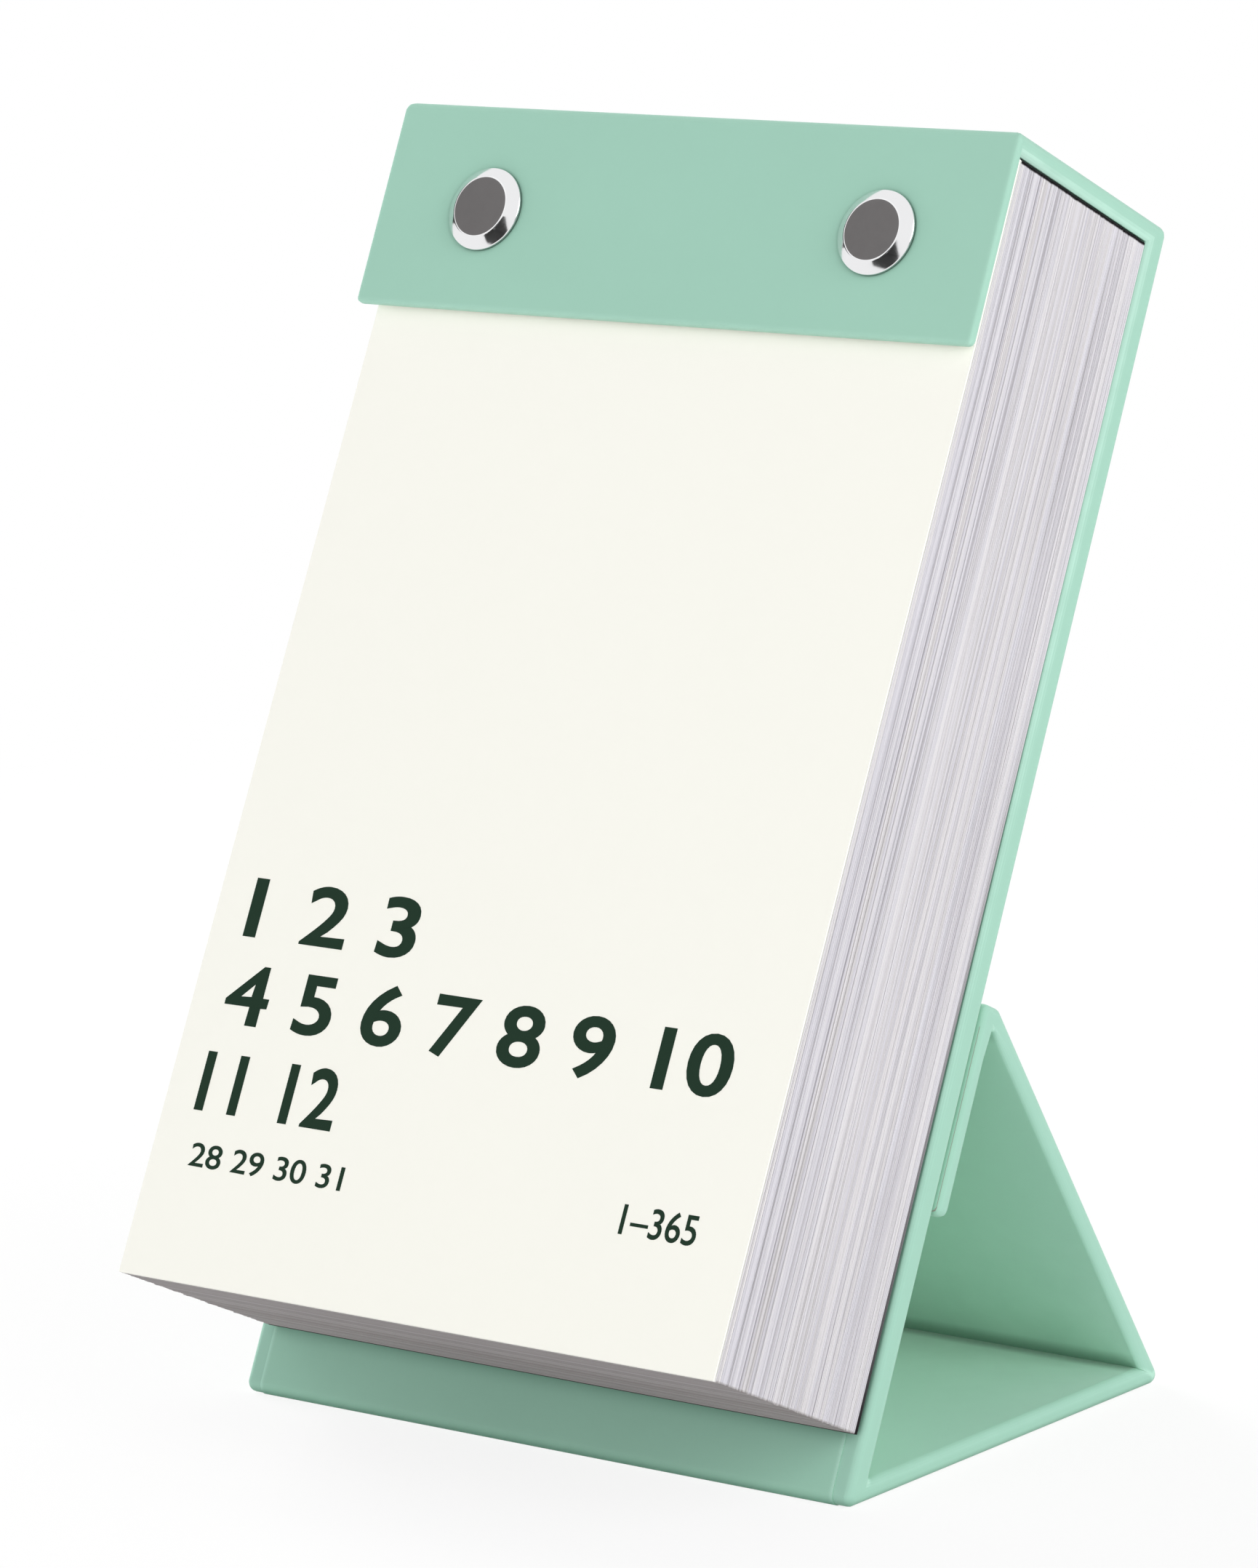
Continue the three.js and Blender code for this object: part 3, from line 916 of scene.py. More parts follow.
@dataclass
class StripCovers:
    """Covers and linings of the folded strip: flap, spine, back, foot, strut and tab.

    Attributes:
        lining_step: How far the covers lie beneath the linings' outer face.
        fold_steps: Distances from a fold at which the strip has corners.
        floor_bend: Meant as how far from its hinge the fold at the floor would bend, as rear_bend and
            ridge_bend for the rear and the ridge; it is not used.
    """

    layout: Layout
    cover: Material
    lining: Material
    side_round: float = 1.1
    spine_round: float = 1.25
    flap_round: float = 0.45
    top_round: float = 1.1
    tight_round: float = 0.3
    ridge_round: float = 1.4
    floor_round: float = 1.4
    flap_corner: float = 0.75
    lining_step: float = 0.1
    lining_depth: float = 0.16
    lining_margin: float = 2.6
    lining_below_spine: float = 0.4
    fold_steps: tuple[float, ...] = (0.6, 1.3, 2.1, 3.0, 4.0, 5.2)
    floor_bend: float = 2.6
    rear_bend: float = 2.3
    ridge_bend: float = 2.45
    floor_arc: int = 10
    rear_arc: int = 16
    peak_arc: int = 6
    front_arc: int = 8

    def build(self) -> None:
        """Build every cover and lining."""
        self.case_cover()
        self.case_lining()
        self.rear_cover()
        self.rear_lining()
        self.strut_cover()
        self.strut_lining()

    def bend_floor(self, piece: Piece) -> None:
        """Bake the place of a piece at the fold between back and foot into its mesh."""
        self.bend(piece)

    def bend_rear(self, piece: Piece) -> None:
        """Bake the place of a piece at the fold between foot and strut into its mesh."""
        self.bend(piece)

    def bend_ridge(self, piece: Piece) -> None:
        """Bake the place of a piece at the fold between strut and tab into its mesh."""
        self.bend(piece)

    def bend(
        self,
        piece: Piece,
    ) -> None:
        """Bake a piece's place into its mesh.

        Args:
            piece: The piece.
        """
        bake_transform(piece)

    def stretch(self, points: Iterable[Vector]) -> list[Corner]:
        """Corners at some points in order, with the strip's side rounding."""
        return [Corner(point, along=self.side_round) for point in points]

    def turn(self, centre: Vector, radius: float, angles: Point, steps: int) -> list[Corner]:
        """Corners along an arc between two angles in degrees, with the strip's side rounding."""
        return arc(centre, radius, *angles, steps, self.side_round)

    def floor_side(self, depth: float, top: float) -> list[Corner]:
        """Outer contour of back and foot: down the front face, round the floor corner and to the rear.

        Args:
            depth: Distance beneath the true outer face.
            top: Where it starts, up along the back.

        Returns:
            The corners, from the top to the rear hinge.
        """
        layout = self.layout
        radius = self.floor_round
        above = radius / math.tan(layout.lean / 2)
        centre = Vector((layout.back(0, 0).x + above, radius))
        down = [layout.back(above + step, depth) for step in reversed(self.fold_steps)]
        under = [Vector((centre.x + step, depth)) for step in self.fold_steps]
        angles = (math.degrees(layout.lean) + 90, 270)
        return [
            *self.stretch([layout.back(top, depth), *down]),
            *self.turn(centre, radius - depth, angles, self.floor_arc),
            *self.stretch(under),
            Corner(Vector((layout.rear_hinge.x, depth))),
        ]

    def rear_side(self, depth: float) -> list[Corner]:
        """Outer contour of the rear fold, an arc about its hinge from the foot to the strut.

        Args:
            depth: Distance beneath the true outer face.

        Returns:
            The corners.
        """
        layout = self.layout
        angles = (-90, math.degrees(layout.strut_angle) - 90)
        return self.turn(layout.rear_hinge, layout.stand_thickness / 2 - depth, angles, self.rear_arc)

    def ridge_side(self, depth: float, tab_end: float) -> list[Corner]:
        """Outer contour of strut, ridge and tab.

        Args:
            depth: Distance beneath the true outer face.
            tab_end: Where it ends, up along the back.

        Returns:
            The corners, from the rear hinge over the ridge and down the tab.
        """
        layout = self.layout
        radius = self.ridge_round
        half = layout.stand_thickness / 2
        ridge = layout.behind_and_up(layout.ridge_hinge)
        cap = ridge.y + layout.stand_thickness
        front = ridge.x - layout.stand_thickness
        cap_run = layout.back(0, 1) - layout.back(0, 0)
        upwards = Vector((-cap_run.y, cap_run.x))
        outwards = layout.out_of_strut
        cap_middle = layout.back(cap, ridge.x)
        shift = (half - (cap_middle - layout.rear_hinge).dot(outwards)) / cap_run.dot(outwards)
        peak = cap_middle + shift * cap_run
        peak_centre = peak - radius * (outwards + upwards) / (1 + outwards.dot(upwards))
        front_centre = layout.back(cap - radius, front + radius)
        out, up, ahead = (math.degrees(math.atan2(way.y, way.x)) for way in (outwards, upwards, -cap_run))
        peak_turn = self.turn(peak_centre, radius - depth, (out, up), self.peak_arc)
        front_turn = self.turn(front_centre, radius - depth, (up, ahead), self.front_arc)
        top_up = (peak_turn[0].at - layout.rear_hinge).dot(layout.up_strut)
        rise = [layout.strut(top_up - step, half - depth) for step in reversed(self.fold_steps)]
        fall = [layout.back(cap - radius - step, front + depth) for step in self.fold_steps]
        return [
            *self.stretch([layout.strut(0, half - depth), *rise]),
            *peak_turn,
            *front_turn,
            *self.stretch([*fall, layout.back(tab_end, front + depth)]),
        ]

    def inner_rear_corner(self) -> Vector:
        """Where the inner faces of foot and strut meet.

        Returns:
            Its place in the side view.
        """
        layout = self.layout
        opening = math.pi - layout.strut_angle
        reach = layout.stand_thickness / 2 / math.sin(opening / 2)
        return layout.rear_hinge + reach * heading(math.pi - opening / 2)

    def case_cover(self) -> None:
        """Build the cover of flap, spine, back and foot, bent at the floor."""
        layout = self.layout
        front, top, rear = layout.case_low.y, layout.case_high.z, layout.back_thickness
        flap_bottom = layout.flap_bottom
        flap_rear = layout.box("flap_liner")[1].y
        under_spine = layout.box("spine_liner")[0].z
        hinge = layout.floor_hinge
        hinge_up = layout.behind_and_up(hinge).y
        side, flap, spine = self.side_round, self.flap_round, self.spine_round
        outline = [
            Corner(layout.back(flap_bottom, front), flap, flap),
            Corner(layout.back(top, front), self.top_round, spine),
            Corner(layout.back(top, rear), spine, side),
            *self.stretch(layout.back(hinge_up + step, rear) for step in reversed(self.fold_steps)),
            Corner(hinge, along=side),
            *self.stretch(hinge + Vector((step, 0)) for step in self.fold_steps),
            Corner(self.inner_rear_corner()),
            Corner(layout.rear_hinge),
            *turned_back(self.floor_side(self.lining_step, under_spine), spine),
            Corner(layout.back(under_spine, flap_rear), along=flap),
            Corner(layout.back(flap_bottom, flap_rear), flap, self.flap_corner),
        ]
        piece = finished(swept(outline, layout.width), "case_cover", self.cover)
        round_edges(piece, spine)
        self.bend_floor(piece)
        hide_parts("case_paper", "floor_fold", "base_paper")

    def case_lining(self) -> None:
        """Build the lining on the back's front face and under the foot, bent at the floor."""
        top = self.layout.box("spine_liner")[0].z - self.lining_below_spine
        piece = self.lining_strip("case_lining", lambda depth: self.floor_side(depth, top))
        self.bend_floor(piece)
        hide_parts("back_liner", "base_liner")

    def rear_cover(self) -> None:
        """Build the rear fold's cover: a slice about its hinge."""
        outline = [Corner(self.layout.rear_hinge), *self.rear_side(self.lining_step)]
        outline[-1] = Corner(outline[-1].at)
        piece = finished(swept(outline, self.layout.width), "rear_fold_cover", self.cover)
        round_edges(piece, self.side_round)
        self.bend_rear(piece)
        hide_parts("rear_fold")

    def rear_lining(self) -> None:
        """Build the lining round the rear fold."""
        self.bend_rear(self.lining_strip("rear_fold_lining", self.rear_side))

    def strut_cover(self) -> None:
        """Build the cover of strut, ridge and tab, bent at the ridge."""
        layout = self.layout
        side = self.side_round
        tab_low = layout.box("tab_paper")[0].z
        ridge = layout.behind_and_up(layout.ridge_hinge)
        outer = self.ridge_side(self.lining_step, tab_low)
        outer[-1] = Corner(outer[-1].at, side, side)
        length = layout.strut_length
        half = layout.stand_thickness / 2
        up_tab = [
            Corner(layout.back(ridge.y - step, ridge.x), along=self.eased(step))
            for step in reversed(self.fold_steps)
        ]
        down_strut = [
            Corner(layout.strut(length - step, -half), along=self.eased(step)) for step in self.fold_steps
        ]
        outline = [
            Corner(layout.rear_hinge),
            *outer,
            Corner(layout.back(tab_low, ridge.x), side, side),
            *up_tab,
            Corner(layout.ridge_hinge, along=self.eased(0.0)),
            *down_strut,
            Corner(self.inner_rear_corner()),
        ]
        piece = finished(swept(outline, layout.width), "strut_cover", self.cover)
        round_edges(piece, side)
        self.bend_ridge(piece)
        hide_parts("strut_paper", "tab_paper", "ridge_fold")

    def strut_lining(self) -> None:
        """Build the lining on the strut's outer face, over the ridge and down the tab's front."""
        tab_end = self.layout.box("tab_paper")[0].z + self.lining_margin
        piece = self.lining_strip("strut_lining", lambda depth: self.ridge_side(depth, tab_end))
        self.bend_ridge(piece)
        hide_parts("strut_liner", "tab_liner")

    def eased(self, step: float) -> float:
        """Side rounding of an inner edge near the ridge, so the roundings of both sides don't meet."""
        return self.tight_round + (self.side_round - self.tight_round) * min(1.0, step / self.fold_steps[-1])

    def lining_strip(self, name: str, contour: Callable[[float], list[Corner]]) -> Piece:
        """Thin lining sheet that follows an outer contour between the turned-in margins.

        Args:
            name: The piece's name.
            contour: Gives the contour at a depth beneath the outer face.

        Returns:
            The piece.
        """
        outer = [Corner(corner.at) for corner in contour(0.0)]
        inner = [Corner(corner.at) for corner in contour(self.lining_depth)]
        width = self.layout.width - 2 * self.lining_margin
        piece = finished(swept([*outer, *reversed(inner)], width), name, self.lining)
        return piece


# Block of sheets


@dataclass(frozen=True)
class Bundle:
    """Neighbouring sheets that lie a little out of line together and share a tone."""

    sheets: int
    shift: float
    drop: float
    tone: float
    tint: float


@dataclass(frozen=True)
class SoftLine:
    """A soft dark line down the block's side.

    Attributes:
        behind: Its place behind the block's front face, at the bottom.
        reach: Half its width.
        strength: How much darker its sheets are.
    """

    behind: float
    reach: float
    strength: float


@dataclass
class SheetBlock:
    """The daily sheets, each modelled by itself, and the cover sheet in front of them.

    Attributes:
        stations: Steps up a sheet.
        wave_grain: Noise step between sheets, millimetres up a sheet for one step, and step between packs.
        air: Sheet thicknesses of air for one unit of noise above air_start.
        air_grain: The air's noise steps, given as in wave_grain.
        under_rim: Height of the shaded rim along a sheet's lower edge.
        top_rim: Height of the rim along its upper edge, of which top_dark lies in the dark gap and carries
            painted shadow.
        rear_zone: The rear pack ends within this distance of the back.
        shaded_sheets: Number of rear sheets that fade into painted shadow of the gap in front of the back,
            darker towards the bottom.
        row_height: Heights closer than this are one row where a sheet's rear is placed.
        crease_steps: Distances from the cover's crease at which it has corners.
    """

    layout: Layout
    sheets: Material
    face: Material
    card: Material
    sheet: float = 0.075
    filled: float = 0.97
    stations: int = 15
    bundle_least: int = 3
    bundle_most: int = 14
    bundle_shift: float = 0.045
    bundle_tone: float = 0.35
    bundle_tint: float = 0.6
    sheet_shift: float = 0.02
    sheet_tone: float = 0.16
    under_least: float = 0.55
    wave: float = 0.05
    wave_grain: tuple[float, float, float] = (0.21, 40.0, 3.1)
    air: float = 3.6
    air_start: float = 0.18
    air_grain: tuple[float, float, float] = (0.55, 55.0, 0.37)
    fan_below_flap: float = 1.0
    under_rim: float = 0.3
    top_rim: float = 0.42
    top_dark: float = 0.26
    rear_zone: float = 1.0
    shaded_sheets: int = 7
    shade_slope: float = 1.3
    shade_start: float = 0.3
    row_height: float = 2.0
    soft_lines: tuple[SoftLine, ...] = (
        SoftLine(2.75, 0.11, 0.85),
        SoftLine(3.2, 0.08, 0.6),
        SoftLine(6.6, 0.5, 0.4),
        SoftLine(9.4, 0.35, 0.35),
        SoftLine(15.5, 0.3, 0.2),
        SoftLine(24.6, 0.12, 0.5),
    )
    front_overlaps: tuple[float, ...] = (0.01, 0.03, 0.04, 0.06)
    overlap: float = 0.08
    crease_steps: tuple[float, ...] = (0.35, 0.8, 1.4, 2.2, 3.2)
    crease_reach: float = 1.1
    packs: list[str] = field(init=False)
    front: float = field(init=False)

    def __post_init__(self) -> None:
        """Put the packs in order from front to rear, and find the block's front face."""
        names = (name for name in frame["nodes"] if name.startswith("sheets_"))
        self.packs = sorted(names, key=lambda name: self.layout.box(name)[0].y)
        self.front = self.layout.depths(self.packs[0])["bottom"][0]

    def build(self) -> None:
        """Build the twelve packs and the cover sheet."""
        dice = random.Random(SEED)
        others = len(self.packs) - len(self.front_overlaps)
        overlaps = [*self.front_overlaps, *[self.overlap] * others]
        for name, overlap in zip(self.packs, overlaps, strict=True):
            self.pack(name, overlap, dice)
        self.cover_sheet()

    def levels(self, low: float, high: float) -> list[float]:
        """Heights of a sheet's rows.

        Args:
            low: Its lower edge.
            high: Its upper edge.

        Returns:
            The heights from below, with a narrow rim at either end.
        """
        between = self.stations - 3
        middle = high - low - self.under_rim - self.top_rim
        steps = (low + self.under_rim + middle * step / between for step in range(between + 1))
        return [low, *steps, high - self.top_dark, high]

    def draw_bundle(self, dice: random.Random) -> Bundle:
        """Draw the next bundle of sheets.

        Args:
            dice: Seeded random numbers.

        Returns:
            The bundle.
        """
        return Bundle(
            sheets=dice.randint(self.bundle_least, self.bundle_most),
            shift=dice.gauss(0, self.bundle_shift),
            drop=dice.gauss(0, self.bundle_shift / 2),
            tone=dice.uniform(0.0, self.bundle_tone),
            tint=dice.uniform(0.0, self.bundle_tint),
        )

    def pack(self, name: str, overlap: float, dice: random.Random) -> None:
        """Build one month's sheets: each a thin strip that fans out below the flap.

        Args:
            name: The frame's node for the pack.
            overlap: How far the pack spreads into the gaps beside it.
            dice: Seeded random numbers.
        """
        layout = self.layout
        low, high = layout.box(name)
        depths = layout.depths(name)
        count = round((depths["top"][1] - depths["top"][0]) / self.sheet)
        foremost = depths["bottom"][0] == self.front
        rearmost = depths["top"][1] > -self.rear_zone
        levels = self.levels(low.z, high.z)
        fan_start = layout.flap_bottom - self.fan_below_flap
        share = [max(0.0, min(1.0, (fan_start - level) / (fan_start - low.z))) for level in levels]
        gaps = [[self.gap(name, index, level) for index in range(count)] for level in levels]
        edges = [self.spread(depths, part, gap, overlap) for part, gap in zip(share, gaps, strict=True)]
        mesh = bmesh.new()
        tone, tint, under, gap = (
            mesh.verts.layers.float.new(label) for label in ("tone", "tint", "under", "gap")
        )
        left = 0
        for index in range(count):
            if left == 0:
                bundle = self.draw_bundle(dice)
                left = bundle.sheets
            left -= 1
            shift = bundle.shift + dice.gauss(0, self.sheet_shift)
            drop = bundle.drop + dice.gauss(0, self.sheet_shift)
            own_tone = bundle.tone + abs(dice.gauss(0, self.sheet_tone)) + self.mark(edges[0][index][0])
            # Random strength of the painted shade on this sheet's lower edge.
            own_under = dice.uniform(self.under_least, 1.0)
            shade = float(rearmost and index < self.shaded_sheets)
            grid = bmesh.ops.create_grid(mesh, x_segments=1, y_segments=self.stations, size=0.5)["verts"]
            front = sorted(grid, key=lambda vert: (vert.co.y, vert.co.x))
            faces = list(dict.fromkeys(face for vert in front for face in vert.link_faces))
            for step, level in enumerate(levels):
                # Painted shadow: the top rows lie in the dark gap under the spine, and the rearmost sheets
                # darken towards the bottom in the gap in front of the back.
                in_gap = float(step >= len(levels) - 2)
                shaded = shade * max(0.0, self.shade_slope * share[step] - self.shade_start)
                height = level + (drop if step == 0 else 0.0)
                for edge, vert in zip((low.x, high.x), front[2 * step:2 * step + 2], strict=True):
                    reach = edge + shift + self.ripple(index, level, name)
                    vert.co = (reach, edges[step][index][0], height)
                    vert[tone] = min(1.0, own_tone)
                    vert[tint] = bundle.tint
                    # The lower edge carries painted shade.
                    vert[under] = own_under * (step == 0)
                    vert[gap] = max(in_gap, shaded)
            grown = bmesh.ops.extrude_face_region(mesh, geom=faces)["geom"]
            if foremost and index == count - 1:
                for face in faces:
                    face.material_index = 1
            rear = sorted(
                (part for part in grown if isinstance(part, bmesh.types.BMVert)),
                key=lambda vert: (round(vert.co.z / self.row_height), vert.co.x),
            )
            for place, vert in enumerate(rear):
                vert.co.y = edges[place // 2][index][1]
        bmesh.ops.recalc_face_normals(mesh, faces=mesh.faces)
        mesh.transform(layout.leaning)
        piece = finished(mesh, name.replace("sheets", "pages"), self.sheets, sharp=20)
        piece.data.materials.append(self.face)
        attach(piece, Body.CASE.value)
        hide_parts(name)

    def gap(self, name: str, index: int, level: float) -> float:
        """Air in front of a sheet at one level, in sheet thicknesses: mostly none, sometimes a thin wedge.

        Args:
            name: The pack's node.
            index: The sheet's number in the pack.
            level: The height.

        Returns:
            The air's thickness.
        """
        across, upwards, own = self.air_grain
        place = Vector((index * across, level / upwards, sum(map(ord, name)) * own))
        return self.air * max(0.0, noise.noise(place) - self.air_start)

    def spread(
        self,
        depths: dict[str, Point],
        share: float,
        gaps: list[float],
        overlap: float,
    ) -> list[Point]:
        """Front and rear depth of every sheet of a pack at one level.

        Args:
            depths: The pack's depths at top and bottom.
            share: How far the block has fanned out there, from 0 to 1.
            gaps: Air in front of each sheet, in sheet thicknesses.
            overlap: How far the pack spreads into the gaps beside it.

        Returns:
            One pair for each sheet, from the rear of the pack to its front.
        """
        front, rear = (
            top + (bottom - top) * share for top, bottom in zip(depths["top"], depths["bottom"], strict=True)
        )
        front -= overlap
        rear += overlap
        unit = (rear - front) / (len(gaps) + sum(gaps))
        at = rear
        found = []
        for gap in gaps:
            at -= gap * unit
            found.append((at - unit * self.filled, at))
            at -= unit
        return found

    def mark(self, depth: float) -> float:
        """How much darker a sheet is for the soft lines in the block's side, by its depth at the bottom."""
        behind = depth - self.front
        return sum(line.strength for line in self.soft_lines if abs(behind - line.behind) < line.reach)

    def ripple(self, index: int, level: float, name: str) -> float:
        """Small sideways wander of a sheet's edge along its height.

        Args:
            index: The sheet's number in the pack.
            level: The height.
            name: The pack's node.

        Returns:
            How far the edge lies to the right.
        """
        across, upwards, own = self.wave_grain
        place = Vector((index * across, level / upwards, len(name) * own + ord(name[-2])))
        return self.wave * noise.noise(place)

    def cover_sheet(self) -> None:
        """Build the card in front of the block, bent at the crease below the flap."""
        layout = self.layout
        leaf, stub = layout.depths("cover_leaf"), layout.depths("cover_stub")
        leaf_low, leaf_high = layout.box("cover_leaf")
        stub_low, stub_high = layout.box("cover_stub")
        below = (leaf_high.z - step for step in reversed(self.crease_steps))
        above = (stub_low.z + step for step in self.crease_steps)
        rises = [stub_low.z, *(level for level in above if level < stub_high.z), stub_high.z]
        levels = [leaf_low.z, *below, leaf_high.z, *rises]

        def side(place: int) -> list[Corner]:
            """Corners up one face of the card.

            Args:
                place: 0 for its front face, 1 for its rear face.

            Returns:
                The corners from below.
            """
            corners = []
            for level in levels:
                share = (level - leaf_low.z) / (leaf_high.z - leaf_low.z)
                leaning = leaf["bottom"][place] + (leaf["top"][place] - leaf["bottom"][place]) * share
                depth = stub["top"][place] if level >= stub_low.z else leaning
                corners.append(Corner(layout.back(level, depth)))
            return corners

        card = swept([*side(0), *reversed(side(1))], leaf_high.x - leaf_low.x)
        bmesh.ops.translate(card, verts=card.verts, vec=((leaf_low.x + leaf_high.x) / 2, 0, 0))
        piece = finished(card, "cover_sheet", self.card)
        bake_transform(piece)
        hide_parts("cover_stub", "cover_leaf")


@dataclass(frozen=True)
class PrintedRow:
    """A row of plain numbers on the cover sheet.

    Attributes:
        name: The piece's name.
        text: Its numbers.
        at: Left end of its base line, from the lower middle of the page.
        size: Its width, and the height of its figures.
        bold: Thickening of the strokes, as a share of the figures' height.
    """

    name: str
    text: str
    at: Point
    size: Point
    bold: float


MONTH_FIGURES = 7.7
MONTH_BOLD = 0.026
DAY_BOLD = 0.012
PRINTED_ROWS = (
    PrintedRow("months_first_row", "1 2 3", (-39.8, 44.4), (27.0, MONTH_FIGURES), MONTH_BOLD),
    PrintedRow("months_second_row", "4 5 6 7 8 9 10", (-39.8, 33.2), (78.4, MONTH_FIGURES), MONTH_BOLD),
    PrintedRow("months_third_row", "11 12", (-40.2, 21.8), (22.0, MONTH_FIGURES), MONTH_BOLD),
    PrintedRow("days_of_month", "28 29 30 31", (-38.8, 14.6), (24.5, 3.1), DAY_BOLD),
    PrintedRow("days_of_year", "1–365", (28.2, 15.2), (11.2, 3.8), DAY_BOLD),
)


@dataclass
class PagePrint:
    """Plain numbers printed on the cover sheet: the months, the days of a month and the days of a year.

    Attributes:
        figure_height: Height of the font's figures, as a share of its size.
        raise_by: How far the print's middle lies in front of the page.
        film: Half the ink's thickness.
        working_height: Half the figures' thickness while they are thickened.
        seam: Distance within which the font's seams are closed.
        sharpest: Limit that keeps sharp corners from running out into spikes.
    """

    layout: Layout
    ink: Material
    figure_height: float = 0.729
    curve_steps: int = 6
    raise_by: float = 0.015
    film: float = 0.01
    working_height: float = 0.5
    seam: float = 0.04
    sharpest: float = 0.35

    def build(self) -> None:
        """Print every row."""
        for row in PRINTED_ROWS:
            self.print_row(row)

    def page(self) -> Matrix:
        """Find the page's own frame.

        Returns:
            Its place: origin at the lower middle, X across, Y up the page, Z towards the viewer.
        """
        layout = self.layout
        depths = layout.depths("cover_leaf")
        low, high = layout.box("cover_leaf")
        bottom = layout.leaning @ Vector((0, depths["bottom"][0], low.z))
        top = layout.leaning @ Vector((0, depths["top"][0], high.z))
        up = (top - bottom).normalized()
        across = Vector((1, 0, 0))
        turn = Matrix((across, up, across.cross(up))).transposed().to_4x4()
        return Matrix.Translation(bottom) @ turn

    def thicken(self, figures: Mesh, by: float) -> None:
        """Close the seams of upright figures and move their outlines outwards.

        Args:
            figures: The figures, whose walls stand upright.
            by: How far the outlines move.
        """
        bmesh.ops.remove_doubles(figures, verts=figures.verts, dist=self.seam)
        bmesh.ops.recalc_face_normals(figures, faces=figures.faces)
        moves = {}
        for vert in figures.verts:
            walls = [face.normal for face in vert.link_faces if abs(face.normal.z) < 0.5]
            if walls:
                facing = sum(walls, Vector()) / len(walls)
                moves[vert] = by * facing / max(self.sharpest, facing.length_squared)
        for vert, move in moves.items():
            vert.co += move

    def figures(self, row: PrintedRow) -> bpy.types.Mesh:
        """Turn a row's text into a mesh of upright figures, flat on the font's own plane.

        Args:
            row: The row.

        Returns:
            The mesh.
        """
        curve = bpy.data.curves.new(row.name, "FONT")
        curve.body = row.text
        curve.size = row.size[1] / self.figure_height
        curve.extrude = self.working_height
        curve.resolution_u = self.curve_steps
        source = bpy.data.objects.new(row.name + "_text", curve)
        bpy.context.scene.collection.objects.link(source)
        shapes = bpy.context.evaluated_depsgraph_get()
        data = bpy.data.meshes.new_from_object(source.evaluated_get(shapes))
        bpy.data.objects.remove(source)
        return data

    def print_row(self, row: PrintedRow) -> None:
        """Print one row of numbers.

        Args:
            row: The row.
        """
        data = self.figures(row)
        width, height = row.size
        figures = bmesh.new()
        figures.from_mesh(data)
        self.thicken(figures, row.bold * height)
        left = min(vert.co.x for vert in figures.verts)
        right = max(vert.co.x for vert in figures.verts)
        stretch = Matrix.Diagonal((width / (right - left), 1, self.film / self.working_height, 1))
        place = self.page() @ Matrix.Translation((*row.at, self.raise_by))
        figures.transform(Matrix.Scale(MM, 4) @ place @ stretch @ Matrix.Translation((-left, 0, 0)))
        figures.to_mesh(data)
        figures.free()
        data.materials.clear()
        data.materials.append(self.ink)
        data.name = row.name
        piece = bpy.data.objects.new(row.name, data)
        bpy.context.scene.collection.objects.link(piece)
        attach(piece, Body.COVER.value)
        log.info("%s: %d faces", row.name, len(data.polygons))


# Binding


